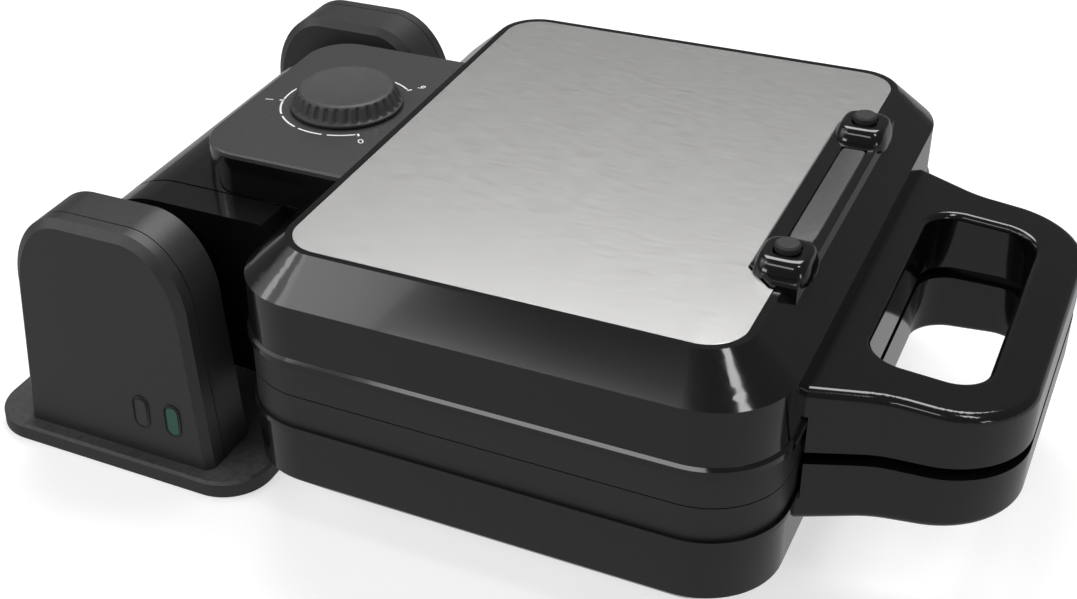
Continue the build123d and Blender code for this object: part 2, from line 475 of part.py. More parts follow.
# Hollow hinge pins, held in the arms, on which the upper half swings
with BuildPart() as hinge_pins:
    for side in (-1, 1):
        with Locations(Plane(origin=(AXIS_X, side * PIN_INNER_END, AXIS_Z), z_dir=(0, side, 0))):
            Cylinder(PIN_RADIUS, ARM_END - PIN_INNER_END, align=(Align.CENTER, Align.CENTER, Align.MIN))
            Cylinder(PIN_BORE, 4 * ARM_END, mode=Mode.SUBTRACT)

# Retaining clips in the trunnions' grooves, inside the towers
with BuildPart() as trunnion_clips:
    for side in (-1, 1):
        with Locations(Plane(origin=(AXIS_X, side * (TOWER_INNER + BOSS_DEPTH + RUNNING_GAP + 0.05), AXIS_Z),
                             z_dir=(0, side, 0))):
            Cylinder(JOURNAL_RADIUS + CLIP_WIDTH, CLIP_THICKNESS, align=(Align.CENTER, Align.CENTER, Align.MIN))
            Cylinder(JOURNAL_RADIUS - CLIP_DEPTH + SEAT, 4 * CLIP_THICKNESS, mode=Mode.SUBTRACT)
        with Locations((AXIS_X, side * (TOWER_INNER + BOSS_DEPTH), AXIS_Z - JOURNAL_RADIUS)):
            Box(2 * TRUNNION_BORE, 6 * CLIP_THICKNESS, JOURNAL_RADIUS, mode=Mode.SUBTRACT)

# Stand


def tower_profile(plane, inset=0.0, floor=BASE_TOP):
    """Arched tower outline with drafted sides, drawn in X and Z about the flip axis."""
    foot_level = floor - AXIS_Z
    shoulder = TOWER_TOP - ARCH_Z
    half, foot_half = TOWER_HALF_TOP - inset, TOWER_HALF_FOOT - inset
    rx, rz = ARCH_X - inset, ARCH_Z - inset
    with BuildSketch(plane) as sketch:
        with BuildLine():
            Polyline((-half, shoulder), (-foot_half, foot_level), (foot_half, foot_level), (half, shoulder))
            EllipticalCenterArc((half - rx, shoulder), rx, rz, start_angle=0, arc_size=90)
            Line((half - rx, shoulder + rz), (rx - half, shoulder + rz))
            EllipticalCenterArc((rx - half, shoulder), rx, rz, start_angle=90, arc_size=90)
        make_face()
    return sketch.sketch


def post_centres(y):
    return [(AXIS_X + side * POST_X, y) for side in (-1, 1)]


OUTER_FACE = Plane(origin=(AXIS_X, -TOWER_OUTER, BASE_TOP), x_dir=(1, 0, 0),
                   z_dir=(0, -(AXIS_Z + TOWER_TOP - BASE_TOP), TOWER_OUTER - TOWER_OUTER_TOP))

# Inner half of the front tower, with the bearing boss
with BuildPart() as front_tower_housing:
    extrude(tower_profile(upright(-TOWER_INNER)), amount=TOWER_SEAM - TOWER_INNER)
    inner_arch = (front_tower_housing.faces().sort_by(Axis.Y)[-1].edges()
                  .filter_by(lambda edge: edge.center().Z > AXIS_Z))
    chamfer(inner_arch, TOWER_BEVEL_Y)
    extrude(tower_profile(upright(-TOWER_INNER - TOWER_WALL), TOWER_WALL, BASE_TOP + TOWER_WALL),
            amount=TOWER_SEAM, mode=Mode.SUBTRACT)
    with Locations(Plane(origin=(AXIS_X, -TOWER_INNER, AXIS_Z), z_dir=(0, -1, 0))):
        Cylinder(BOSS_RADIUS, BOSS_DEPTH, align=(Align.CENTER, Align.CENTER, Align.MIN))
        Cylinder(JOURNAL_RADIUS + SHAFT_FIT + BUSH_WALL + SEAT, 4 * BOSS_DEPTH, mode=Mode.SUBTRACT)
    with Locations(*[(x, y, BASE_TOP) for x, y in post_centres(-POST_Y)]):
        Cylinder(POST_RADIUS, POST_HEIGHT, align=(Align.CENTER, Align.CENTER, Align.MIN))
        Cylinder(SCREW_RADIUS + 0.1, 2 * POST_HEIGHT - 4, mode=Mode.SUBTRACT)
    with Locations(Plane(origin=(AXIS_X + PLUG_X, -TOWER_INNER, AXIS_Z + PLUG_LEVEL), z_dir=(0, -1, 0))):
        Cylinder(PLUG_RADIUS + SEAT, 2 * PLUG_DEPTH, mode=Mode.SUBTRACT)

# Outer half of the front tower, with the two lamp windows
with BuildPart() as front_tower_cover:
    extrude(tower_profile(upright(-TOWER_SEAM - SEAM_GROOVE)), amount=TOWER_OUTER)
    split(bisect_by=OUTER_FACE, keep=Keep.BOTTOM)
    outer_arch = (front_tower_cover.faces().sort_by(Axis.Y)[0].edges()
                  .filter_by(lambda edge: edge.center().Z > AXIS_Z))
    chamfer(outer_arch, TOWER_BEVEL_Y)
    extrude(tower_profile(upright(-TOWER_SEAM), TOWER_WALL, BASE_TOP + TOWER_WALL),
            amount=TOWER_OUTER_TOP - TOWER_SEAM - TOWER_WALL, mode=Mode.SUBTRACT)
    extrude(tower_profile(upright(-TOWER_SEAM), TOWER_WALL / 2), amount=SEAM_GROOVE)
    extrude(tower_profile(upright(-TOWER_SEAM), TOWER_WALL, BASE_TOP + TOWER_WALL),
            amount=2 * SEAM_GROOVE, mode=Mode.SUBTRACT)

# Inner and outer half of the rear tower
with BuildPart() as rear_tower_housing:
    mirror(front_tower_housing.part, about=Plane.XZ)

with BuildPart() as rear_tower_cover:
    mirror(front_tower_cover.part, about=Plane.XZ)
    with Locations(Plane(origin=(AXIS_X, TOWER_SEAM, AXIS_Z + GLAND_LEVEL), z_dir=(0, 1, 0))):
        Cylinder(GLAND_RADIUS + SEAT, TOWER_OUTER, align=(Align.CENTER, Align.CENTER, Align.MIN), mode=Mode.SUBTRACT)


def lamp_slot(y, grow, depth, x):
    """Upright slot for an indicator, cut or filled towards the front."""
    with BuildPart() as slot:
        with BuildSketch(upright(y)):
            with Locations((x, LAMP_LEVEL)):
                SlotOverall(LAMP_LENGTH + 2 * grow, LAMP_WIDTH + 2 * grow, rotation=90)
        extrude(amount=depth)
    return slot.part


for lamp in (LAMP_X, LAMP_X + LAMP_STEP):
    front_tower_cover.part = front_tower_cover.part - lamp_slot(-TOWER_SEAM, SEAT, TOWER_OUTER, lamp)

# Indicator lenses, dark for power and green for ready
LENS_BACK = TOWER_OUTER_TOP - TOWER_WALL
with BuildPart() as power_light_lens:
    add(lamp_slot(-LENS_BACK, 0, TOWER_OUTER - LENS_BACK + LAMP_PROUD - 0.6, LAMP_X))
    add(lamp_slot(-LENS_BACK + LENS_FLANGE, LENS_SHOULDER, LENS_FLANGE, LAMP_X))

with BuildPart() as ready_light_lens:
    add(lamp_slot(-LENS_BACK, 0, TOWER_OUTER - LENS_BACK + LAMP_PROUD - 0.6, LAMP_X + LAMP_STEP))
    add(lamp_slot(-LENS_BACK + LENS_FLANGE, LENS_SHOULDER, LENS_FLANGE, LAMP_X + LAMP_STEP))

# Lamp board behind the lenses, and its two lamps
with BuildPart() as lamp_board:
    with Locations((AXIS_X + LAMP_X + LAMP_STEP / 2, -TOWER_SEAM, AXIS_Z + LAMP_LEVEL)):
        Box(LAMP_STEP + 14, 1.6, LAMP_LENGTH + 6, align=(Align.CENTER, Align.MIN, Align.CENTER))
    for foot_x in (-1, 1):
        with Locations((AXIS_X + LAMP_X + LAMP_STEP / 2 + foot_x * (LAMP_STEP / 2 + 4), -TOWER_SEAM,
                        BASE_TOP + TOWER_WALL)):
            Box(3, 1.6, AXIS_Z + LAMP_LEVEL - BASE_TOP - TOWER_WALL, align=(Align.CENTER, Align.MIN, Align.MIN))

with BuildPart() as indicator_lamps:
    for lamp in (LAMP_X, LAMP_X + LAMP_STEP):
        with Locations(Plane(origin=(AXIS_X + lamp, -TOWER_SEAM, AXIS_Z + LAMP_LEVEL), z_dir=(0, -1, 0))):
            Cylinder(2.2, LENS_BACK - LENS_FLANGE - TOWER_SEAM - 0.2, align=(Align.CENTER, Align.CENTER, Align.MIN))

# Bearing bushes in the towers
with BuildPart() as front_bearing_bush:
    with Locations(Plane(origin=(AXIS_X, -TOWER_INNER, AXIS_Z), z_dir=(0, -1, 0))):
        Cylinder(JOURNAL_RADIUS + SHAFT_FIT + BUSH_WALL, BOSS_DEPTH, align=(Align.CENTER, Align.CENTER, Align.MIN))
        Cylinder(JOURNAL_RADIUS + SHAFT_FIT, 4 * BOSS_DEPTH, mode=Mode.SUBTRACT)

with BuildPart() as rear_bearing_bush:
    mirror(front_bearing_bush.part, about=Plane.XZ)

# Plugs over the screws on the towers' inner faces
with BuildPart() as screw_plugs:
    for side in (-1, 1):
        with Locations(Plane(origin=(AXIS_X + PLUG_X, side * (TOWER_INNER + PLUG_DEPTH), AXIS_Z + PLUG_LEVEL),
                             z_dir=(0, -side, 0))):
            Cylinder(PLUG_RADIUS, PLUG_DEPTH + PLUG_PROUD, align=(Align.CENTER, Align.CENTER, Align.MIN))
    chamfer(screw_plugs.edges().filter_by(GeomType.CIRCLE)
            .filter_by(lambda edge: abs(edge.center().Y) < TOWER_INNER), 0.3)

# Gland for the mains lead, in the rear tower
with BuildPart() as cord_gland:
    gland_start = TOWER_OUTER_TOP - TOWER_WALL - 2
    with Locations(Plane(origin=(AXIS_X, gland_start, AXIS_Z + GLAND_LEVEL), z_dir=(0, 1, 0))):
        Cylinder(GLAND_RADIUS, TOWER_OUTER + GLAND_PROUD - gland_start,
                 align=(Align.CENTER, Align.CENTER, Align.MIN))
        Cylinder(GLAND_BORE, TOWER_OUTER, mode=Mode.SUBTRACT)
    chamfer(cord_gland.edges().group_by(Axis.Y)[-1].filter_by(lambda edge: edge.length > 6 * GLAND_BORE), 1.2)

# Base plate, open at the left between the towers, where the knob swings through
BASE_SCREWS = post_centres(-POST_Y) + post_centres(POST_Y)
PAD_CENTRES = [(AXIS_X + i * (BASE_HALF_X - 16), j * (BASE_HALF_Y - 16)) for i in (-1, 1) for j in (-1, 1)]
with BuildPart() as base_plate:
    with BuildSketch(Plane.XY.offset(PAD_HEIGHT)):
        with Locations((AXIS_X, 0)):
            RectangleRounded(2 * BASE_HALF_X, 2 * BASE_HALF_Y, BASE_CORNER)
        with Locations((AXIS_X + WINDOW_EDGE - BASE_HALF_X, 0)):
            RectangleRounded(2 * BASE_HALF_X, 2 * WINDOW_HALF, WINDOW_CORNER, mode=Mode.SUBTRACT)
    extrude(amount=BASE_TOP - PAD_HEIGHT, taper=2)
    chamfer(base_plate.edges().group_by(Axis.Z)[-1], BASE_EDGE)
    with Locations(*[(x, y, PAD_HEIGHT) for x, y in PAD_CENTRES]):
        Cylinder(PAD_RADIUS + SEAT, 2 * PAD_RECESS, mode=Mode.SUBTRACT)
    with Locations(*[(x, y, PAD_HEIGHT) for x, y in BASE_SCREWS]):
        Cylinder(SCREW_RADIUS + 0.1, 4 * BASE_TOP, mode=Mode.SUBTRACT)
        Cylinder(SCREW_HEAD + 0.1, 2 * SCREW_HEAD_HEIGHT, mode=Mode.SUBTRACT)

# Rubber pads under the base
with BuildPart() as base_feet:
    for x, y in PAD_CENTRES:
        with Locations((x, y, 0)):
            Cylinder(PAD_RADIUS, PAD_HEIGHT + PAD_RECESS, align=(Align.CENTER, Align.CENTER, Align.MIN))

# Screws from under the base into the towers' posts
with BuildPart() as tower_screws:
    for x, y in BASE_SCREWS:
        with Locations((x, y, PAD_HEIGHT + SCREW_HEAD_HEIGHT)):
            Cylinder(SCREW_HEAD, SCREW_HEAD_HEIGHT - 0.4, align=(Align.CENTER, Align.CENTER, Align.MAX))
            Cylinder(SCREW_RADIUS, SCREW_LENGTH, align=(Align.CENTER, Align.CENTER, Align.MIN))

PIECES = {
    "base_plate": base_plate, "base_feet": base_feet, "tower_screws": tower_screws,
    "front_tower_housing": front_tower_housing, "front_tower_cover": front_tower_cover,
    "rear_tower_housing": rear_tower_housing, "rear_tower_cover": rear_tower_cover,
    "front_bearing_bush": front_bearing_bush, "rear_bearing_bush": rear_bearing_bush,
    "screw_plugs": screw_plugs, "cord_gland": cord_gland,
    "power_light_lens": power_light_lens, "ready_light_lens": ready_light_lens,
    "lamp_board": lamp_board, "indicator_lamps": indicator_lamps,
    "lower_shell": lower_shell, "lower_cover_plate": lower_cover_plate, "lower_feet": lower_feet,
    "lower_cooking_plate": lower_cooking_plate, "lower_plate_screws": lower_plate_screws,
    "lower_heating_element": lower_heating_element, "lower_reflector": lower_reflector,
    "lower_handle": lower_handle, "lower_handle_screws": lower_handle_screws,
    "hinge_pins": hinge_pins, "trunnion_clips": trunnion_clips,
    "upper_shell": upper_shell, "upper_cover_plate": upper_cover_plate, "upper_feet": upper_feet,
    "upper_cooking_plate": upper_cooking_plate, "upper_plate_screws": upper_plate_screws,
    "upper_heating_element": upper_heating_element, "upper_reflector": upper_reflector,
    "upper_handle": upper_handle, "upper_handle_screws": upper_handle_screws,
    "control_housing": control_housing, "control_panel": control_panel, "thermostat": thermostat,
    "terminal_block": terminal_block, "hinge_bushes": hinge_bushes,
    "thermostat_knob": thermostat_knob, "thermostat_spindle": thermostat_spindle,
}

for name, piece in PIECES.items():
    piece.part.label = name
    export_step(piece.part, f"parts/{name}.step")
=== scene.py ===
"""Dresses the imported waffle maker: smooth skins, finishes, knob, foot rests, dial print and studio.

Every length is in metres, in the frame's own axes. X runs from the towers to the handle, Z is up.
"""
import json
import logging
import math
from dataclasses import dataclass, field
from enum import Enum
from typing import Callable

import bmesh
import bpy
import numpy as np
from mathutils import Matrix, Vector


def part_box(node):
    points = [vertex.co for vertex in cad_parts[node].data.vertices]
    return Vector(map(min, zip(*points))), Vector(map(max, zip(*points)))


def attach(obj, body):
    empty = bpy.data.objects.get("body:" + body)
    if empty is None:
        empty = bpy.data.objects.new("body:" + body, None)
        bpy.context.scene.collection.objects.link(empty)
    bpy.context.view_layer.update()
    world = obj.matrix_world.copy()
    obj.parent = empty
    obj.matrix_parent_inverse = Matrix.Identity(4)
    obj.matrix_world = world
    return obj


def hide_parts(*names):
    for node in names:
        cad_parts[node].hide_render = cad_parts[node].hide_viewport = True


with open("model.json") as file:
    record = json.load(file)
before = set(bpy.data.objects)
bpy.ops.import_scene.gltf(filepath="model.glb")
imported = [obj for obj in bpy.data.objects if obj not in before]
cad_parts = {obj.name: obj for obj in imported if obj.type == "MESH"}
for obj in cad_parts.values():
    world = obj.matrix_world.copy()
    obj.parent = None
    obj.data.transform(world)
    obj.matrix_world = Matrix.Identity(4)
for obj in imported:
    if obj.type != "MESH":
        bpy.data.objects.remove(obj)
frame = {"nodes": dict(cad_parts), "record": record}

LOG = logging.getLogger("waffle_maker")


class Body(str, Enum):
    """Rigid bodies of the frame that a piece can ride on."""

    STAND = "stand"
    LOWER = "lower_half"
    UPPER = "upper_half"
    KNOB = "knob"


class Surface(Enum):
    """How a finish is worked."""

    MOULDED = "moulded"
    BRUSHED = "brushed"


@dataclass(frozen=True)
class Finish:
    """One surface finish, as the numbers its shader takes.

    Attributes:
        slot: the record's material slot that it paints.
        color: base colour in linear light.
        roughness: mean roughness.
        metallic: 1 for bare metal, else 0.
        coat: weight of a clear lacquer layer.
        grain: size of the moulded grain, in cells to the metre.
        grain_height: bump strength of that grain.
        dust: share of pale dust that settles on faces that look up.
        scuff: how far the roughness wanders over the surface.
        surface: whether it is moulded or brushed.
    """

    slot: str
    color: tuple[float, float, float]
    roughness: float
    metallic: float = 0.0
    coat: float = 0.0
    grain: float = 900.0
    grain_height: float = 0.0
    dust: float = 0.0
    scuff: float = 0.05
    surface: Surface = Surface.MOULDED


FINISHES: tuple[Finish, ...] = (
    Finish("gloss_black", (0.0035, 0.0035, 0.0038), 0.12, coat=0.25, scuff=0.03, dust=0.006),
    Finish("satin_black", (0.0185, 0.018, 0.0205), 0.40, grain=2600, grain_height=0.10, dust=0.03),
    Finish("base_black", (0.016, 0.016, 0.017), 0.52, grain=1800, grain_height=0.16, dust=0.12),
    Finish("panel_grey", (0.048, 0.048, 0.049), 0.27, grain=2600, grain_height=0.02, dust=0.01),
    Finish("knob_black", (0.026, 0.026, 0.027), 0.48, grain=3200, grain_height=0.08, dust=0.05),
    Finish("brushed_steel", (0.60, 0.595, 0.585), 0.36, metallic=1.0, surface=Surface.BRUSHED),
    Finish("non_stick", (0.012, 0.012, 0.0125), 0.45, grain=1500, grain_height=0.35, scuff=0.08),
    Finish("rubber_black", (0.012, 0.012, 0.012), 0.6, grain=1500, grain_height=0.15),
    Finish("heater_steel", (0.30, 0.28, 0.26), 0.4, metallic=1.0, scuff=0.12),
    Finish("reflector_sheet", (0.75, 0.75, 0.76), 0.22, metallic=1.0, scuff=0.08),
    Finish("screw_steel", (0.55, 0.55, 0.57), 0.3, metallic=1.0, scuff=0.08),
    Finish("nylon", (0.80, 0.78, 0.72), 0.4, grain=1200, grain_height=0.05),
    Finish("thermostat_case", (0.70, 0.67, 0.60), 0.5, grain=900, grain_height=0.1),
    Finish("lens_dark", (0.012, 0.008, 0.008), 0.16, coat=0.4),
    Finish("lens_green", (0.004, 0.065, 0.045), 0.30, coat=0.3),
    Finish("board_green", (0.03, 0.12, 0.05), 0.45),
    Finish("lamp_glass", (0.85, 0.78, 0.70), 0.1),
)
STRIP_GREY = Finish("satin_black", (0.055, 0.055, 0.056), 0.42, grain=1500, grain_height=0.3, dust=0.06)
PRINT_WHITE = Finish("panel_grey", (0.78, 0.78, 0.76), 0.55, scuff=0.02)
BY_SLOT = {finish.slot: finish for finish in FINISHES}

# Outer nodes that are shown as smooth skins, with the width of their eased edges
EASED: tuple[tuple[str, Body, float], ...] = (
    ("upper_shell", Body.UPPER, 0.0005), ("lower_shell", Body.LOWER, 0.0005),
    ("upper_cover_plate", Body.UPPER, 0.0002), ("lower_cover_plate", Body.LOWER, 0.0002),
    ("upper_handle", Body.UPPER, 0.0004), ("lower_handle", Body.LOWER, 0.0004),
    ("upper_feet", Body.UPPER, 0.0003), ("lower_feet", Body.LOWER, 0.0003),
    ("control_housing", Body.UPPER, 0.0008), ("control_panel", Body.UPPER, 0.0004),
    ("base_plate", Body.STAND, 0.0006),
    ("front_tower_housing", Body.STAND, 0.0004), ("rear_tower_housing", Body.STAND, 0.0004),
    ("front_tower_cover", Body.STAND, 0.0005), ("rear_tower_cover", Body.STAND, 0.0005),
    ("screw_plugs", Body.STAND, 0.0001), ("cord_gland", Body.STAND, 0.0003),
)


class ShaderGroups:
    """Builds each shared effect once, as a node group with named sockets.

    Attributes:
        COARSE_SCALE: scale of the grain's coarser noise as a share of the fine one's.
        COARSE_HEIGHT: height of the coarser noise as a share of the fine one's.
        CLOUD_SCALE: cells to the metre of the slow noise that moves the roughness.
        SPECK_SCALE: cells to the metre of the dust's specks.
        FILM_GAIN: how much more a film of dust shows in the colour than in the roughness.
        LINES: cells to the metre along and across the brushing and the noise's detail, for each layer.
        LINE_TONE: how far the brushed lines move the colour.
    """

    COARSE_SCALE = 0.3
    COARSE_HEIGHT = 0.5
    CLOUD_SCALE = 14.0
    SPECK_SCALE = 420.0
    FILM_GAIN = 4.0
    LINES = ((160.0, 5200.0, 3.0), (60.0, 2400.0, 2.0))
    LINE_TONE = 0.10

    def __init__(self) -> None:
        """Builds the three groups."""
        self.grain = self._group("MouldedGrain", ("Scale", "Strength"), ("Height",), self._fill_grain)
        self.wander = self._group("SurfaceWander", ("Amount", "Dust", "Roughness"),
                                  ("Mask", "Roughness"), self._fill_wander)
        self.brush = self._group("BrushedSheet", ("Roughness", "Amount"),
                                 ("Tone", "Roughness", "Height"), self._fill_brush)

    @staticmethod
    def _group(name: str, inputs: tuple[str, ...], outputs: tuple[str, ...],
               fill: Callable[[bpy.types.NodeTree, bpy.types.Node, bpy.types.Node], None],
               ) -> bpy.types.NodeTree:
        """Makes an empty group with float sockets and hands it to a filling method.

        Args:
            name: the group's name.
            inputs: names of the float inputs.
            outputs: names of the float outputs.
            fill: method that places and links the nodes.

        Returns:
            The finished node tree.
        """
        tree = bpy.data.node_groups.new(name, "ShaderNodeTree")
        for socket in inputs:
            tree.interface.new_socket(socket, in_out="INPUT", socket_type="NodeSocketFloat")
        for socket in outputs:
            tree.interface.new_socket(socket, in_out="OUTPUT", socket_type="NodeSocketFloat")
        fill(tree, tree.nodes.new("NodeGroupInput"), tree.nodes.new("NodeGroupOutput"))
        return tree

    @staticmethod
    def _math(tree: bpy.types.NodeTree, operation: str, first: bpy.types.NodeSocket | float,
              second: bpy.types.NodeSocket | float) -> bpy.types.NodeSocket:
        """Places one math node.

        Args:
            tree: the group being filled.
            operation: Blender's name of the operation.
            first: a socket or a number.
            second: a socket or a number.

        Returns:
            The node's output socket.
        """
        node = tree.nodes.new("ShaderNodeMath")
        node.operation = operation
        for index, value in enumerate((first, second)):
            if isinstance(value, bpy.types.NodeSocket):
                tree.links.new(value, node.inputs[index])
            else:
                node.inputs[index].default_value = value
        return node.outputs[0]

    def _fill_grain(self, tree: bpy.types.NodeTree, given: bpy.types.Node, result: bpy.types.Node) -> None:
        """Grain: fine noise plus half as much of a coarser one, times the strength.

        Args:
            tree: the group to fill.
            given: the group's input node.
            result: the group's output node.
        """
        place = tree.nodes.new("ShaderNodeTexCoord")
        fine = tree.nodes.new("ShaderNodeTexNoise")
        coarse = tree.nodes.new("ShaderNodeTexNoise")
        for noise, share in ((fine, 1.0), (coarse, self.COARSE_SCALE)):
            tree.links.new(place.outputs["Object"], noise.inputs["Vector"])
            tree.links.new(self._math(tree, "MULTIPLY", given.outputs["Scale"], share), noise.inputs["Scale"])
            noise.inputs["Detail"].default_value = 2.0
        low = self._math(tree, "MULTIPLY", coarse.outputs["Fac"], self.COARSE_HEIGHT)
        both = self._math(tree, "ADD", fine.outputs["Fac"], low)
        tree.links.new(self._math(tree, "MULTIPLY", both, given.outputs["Strength"]), result.inputs["Height"])

    def _fill_wander(self, tree: bpy.types.NodeTree, given: bpy.types.Node, result: bpy.types.Node) -> None:
        """Dust lies on faces that look up, and the roughness wanders with slow and speckled noise.

        Args:
            tree: the group to fill.
            given: the group's input node.
            result: the group's output node.
        """
        place = tree.nodes.new("ShaderNodeTexCoord")
        slow = tree.nodes.new("ShaderNodeTexNoise")
        slow.inputs["Scale"].default_value = self.CLOUD_SCALE
        slow.inputs["Detail"].default_value = 4.0
        speck = tree.nodes.new("ShaderNodeTexNoise")
        speck.inputs["Scale"].default_value = self.SPECK_SCALE
        for noise in (slow, speck):
            tree.links.new(place.outputs["Object"], noise.inputs["Vector"])
        geometry = tree.nodes.new("ShaderNodeNewGeometry")
        split = tree.nodes.new("ShaderNodeSeparateXYZ")
        tree.links.new(geometry.outputs["Normal"], split.inputs["Vector"])
        up = self._math(tree, "MAXIMUM", split.outputs["Z"], 0.0)
        cloud = self._math(tree, "MULTIPLY", slow.outputs["Fac"], speck.outputs["Fac"])
        film = self._math(tree, "MULTIPLY", self._math(tree, "MULTIPLY", up, cloud), given.outputs["Dust"])
        tree.links.new(self._math(tree, "MULTIPLY", film, self.FILM_GAIN), result.inputs["Mask"])
        swing = self._math(tree, "MULTIPLY", self._math(tree, "SUBTRACT", slow.outputs["Fac"], 0.5),
                           given.outputs["Amount"])
        rough = self._math(tree, "ADD", given.outputs["Roughness"], swing)
        tree.links.new(self._math(tree, "ADD", rough, film), result.inputs["Roughness"])

    def _fill_brush(self, tree: bpy.types.NodeTree, given: bpy.types.Node, result: bpy.types.Node) -> None:
        """Brushing: noise stretched along X gives fine lines in tone, roughness and height.

        Args:
            tree: the group to fill.
            given: the group's input node.
            result: the group's output node.
        """
        place = tree.nodes.new("ShaderNodeTexCoord")
        lines = []
        for along, across, detail in self.LINES:
            mapping = tree.nodes.new("ShaderNodeMapping")
            mapping.inputs["Scale"].default_value = (along, across, across)
            tree.links.new(place.outputs["Object"], mapping.inputs["Vector"])
            noise = tree.nodes.new("ShaderNodeTexNoise")
            noise.inputs["Scale"].default_value = 1.0
            noise.inputs["Detail"].default_value = detail
            tree.links.new(mapping.outputs["Vector"], noise.inputs["Vector"])
            lines.append(noise.outputs["Fac"])
        mean = self._math(tree, "MULTIPLY", self._math(tree, "ADD", lines[0], lines[1]), 0.5)
        centred = self._math(tree, "SUBTRACT", mean, 0.5)
        tone = self._math(tree, "MULTIPLY", centred, self.LINE_TONE)
        tree.links.new(self._math(tree, "ADD", tone, 1.0), result.inputs["Tone"])
        swing = self._math(tree, "MULTIPLY", centred, given.outputs["Amount"])
        tree.links.new(self._math(tree, "ADD", given.outputs["Roughness"], swing), result.inputs["Roughness"])
        tree.links.new(mean, result.inputs["Height"])


class Paintshop:
    """Turns finishes into materials and puts them on nodes and pieces.

    Attributes:
        DUST_TONE: colour of settled dust.
        COAT_ROUGHNESS: roughness of the clear lacquer.
        GRAIN_DEPTH: distance that a full grain bump stands for.
        LINE_DEPTH: the same for the brushed lines.
        LINE_STRENGTH: strength of the brushed lines' bump.
        LINE_SWING: how far the brushed lines move the roughness.
        MIX_FACTOR: place of a Mix node's factor among its inputs.
        MIX_FIRST: place of its first colour, whose name its other inputs share.
        MIX_SECOND: place of its second colour.
        MIX_RESULT: place of its colour result among its outputs.
    """

    DUST_TONE = (0.32, 0.31, 0.30, 1.0)
    COAT_ROUGHNESS = 0.04
    GRAIN_DEPTH = 0.0002
    LINE_DEPTH = 0.00004
    LINE_STRENGTH = 0.12
    LINE_SWING = 0.25
    MIX_FACTOR = 0
    MIX_FIRST = 6
    MIX_SECOND = 7
    MIX_RESULT = 2

    def __init__(self, groups: ShaderGroups) -> None:
        """Keeps the shared groups.

        Args:
            groups: the node groups that materials place.
        """
        self.groups = groups
        self.made: dict[str, bpy.types.Material] = {}
        subparts = frame["record"]["subparts"]
        self.by_node = {entry["node"]: BY_SLOT[entry["material_slot"]] for entry in subparts}

    def material(self, name: str, finish: Finish) -> bpy.types.Material:
        """Builds a finish's material, or gives the one already built.

        Args:
            name: the material's name.
            finish: the finish to build.

        Returns:
            The material.
        """
        if name in self.made:
            return self.made[name]
        made = bpy.data.materials.new(name)
        made.use_nodes = True
        tree = made.node_tree
        shader = tree.nodes["Principled BSDF"]
        shader.inputs["Base Color"].default_value = (*finish.color, 1.0)
        shader.inputs["Metallic"].default_value = finish.metallic
        shader.inputs["Coat Weight"].default_value = finish.coat
        shader.inputs["Coat Roughness"].default_value = self.COAT_ROUGHNESS
        if finish.surface is Surface.BRUSHED:
            self._brush(tree, shader, finish)
        else:
            self._mould(tree, shader, finish)
        self.made[name] = made
        return made

    def _place(self, tree: bpy.types.NodeTree, group: bpy.types.NodeTree, **values: float) -> bpy.types.Node:
        """Puts a group into a material with its input values.

        Args:
            tree: the material's node tree.
            group: the group to place.
            values: a value for each input that isn't linked.

        Returns:
            The group's node.
        """
        node = tree.nodes.new("ShaderNodeGroup")
        node.node_tree = group
        for socket, value in values.items():
            node.inputs[socket].default_value = value
        return node

    def _bump(self, tree: bpy.types.NodeTree, shader: bpy.types.Node, height: bpy.types.NodeSocket,
              distance: float, strength: float) -> None:
        """Feeds a height to the shader's normal through a Bump node.

        Args:
            tree: the material's node tree.
            shader: the shader to feed.
            height: the height's socket.
            distance: the distance that a full height stands for.
            strength: the bump's strength.
        """
        bump = tree.nodes.new("ShaderNodeBump")
        bump.inputs["Distance"].default_value = distance
        bump.inputs["Strength"].default_value = strength
        tree.links.new(height, bump.inputs["Height"])
        tree.links.new(bump.outputs["Normal"], shader.inputs["Normal"])

    def _mould(self, tree: bpy.types.NodeTree, shader: bpy.types.Node, finish: Finish) -> None:
        """Moulded or coated surface: dust over the colour, wandering roughness, grain bump.

        Args:
            tree: the material's node tree.
            shader: the shader to feed.
            finish: the finish to build.
        """
        wander = self._place(tree, self.groups.wander, Amount=finish.scuff, Dust=finish.dust,
                             Roughness=finish.roughness)
        tree.links.new(wander.outputs["Roughness"], shader.inputs["Roughness"])
        mix = tree.nodes.new("ShaderNodeMix")
        mix.data_type = "RGBA"
        mix.inputs[self.MIX_FIRST].default_value = (*finish.color, 1.0)
        mix.inputs[self.MIX_SECOND].default_value = self.DUST_TONE
        tree.links.new(wander.outputs["Mask"], mix.inputs[self.MIX_FACTOR])
        tree.links.new(mix.outputs[self.MIX_RESULT], shader.inputs["Base Color"])
        if finish.grain_height > 0:
            grain = self._place(tree, self.groups.grain, Scale=finish.grain, Strength=1.0)
            self._bump(tree, shader, grain.outputs["Height"], self.GRAIN_DEPTH, finish.grain_height)

    def _brush(self, tree: bpy.types.NodeTree, shader: bpy.types.Node, finish: Finish) -> None:
        """Brushed sheet: lines in tone, roughness and a very low bump.

        Args:
            tree: the material's node tree.
            shader: the shader to feed.
            finish: the finish to build.
        """
        brush = self._place(tree, self.groups.brush, Roughness=finish.roughness, Amount=self.LINE_SWING)
        tree.links.new(brush.outputs["Roughness"], shader.inputs["Roughness"])
        toned = tree.nodes.new("ShaderNodeVectorMath")
        toned.operation = "SCALE"
        toned.inputs[0].default_value = finish.color
        tree.links.new(brush.outputs["Tone"], toned.inputs["Scale"])
        tree.links.new(toned.outputs["Vector"], shader.inputs["Base Color"])
        self._bump(tree, shader, brush.outputs["Height"], self.LINE_DEPTH, self.LINE_STRENGTH)

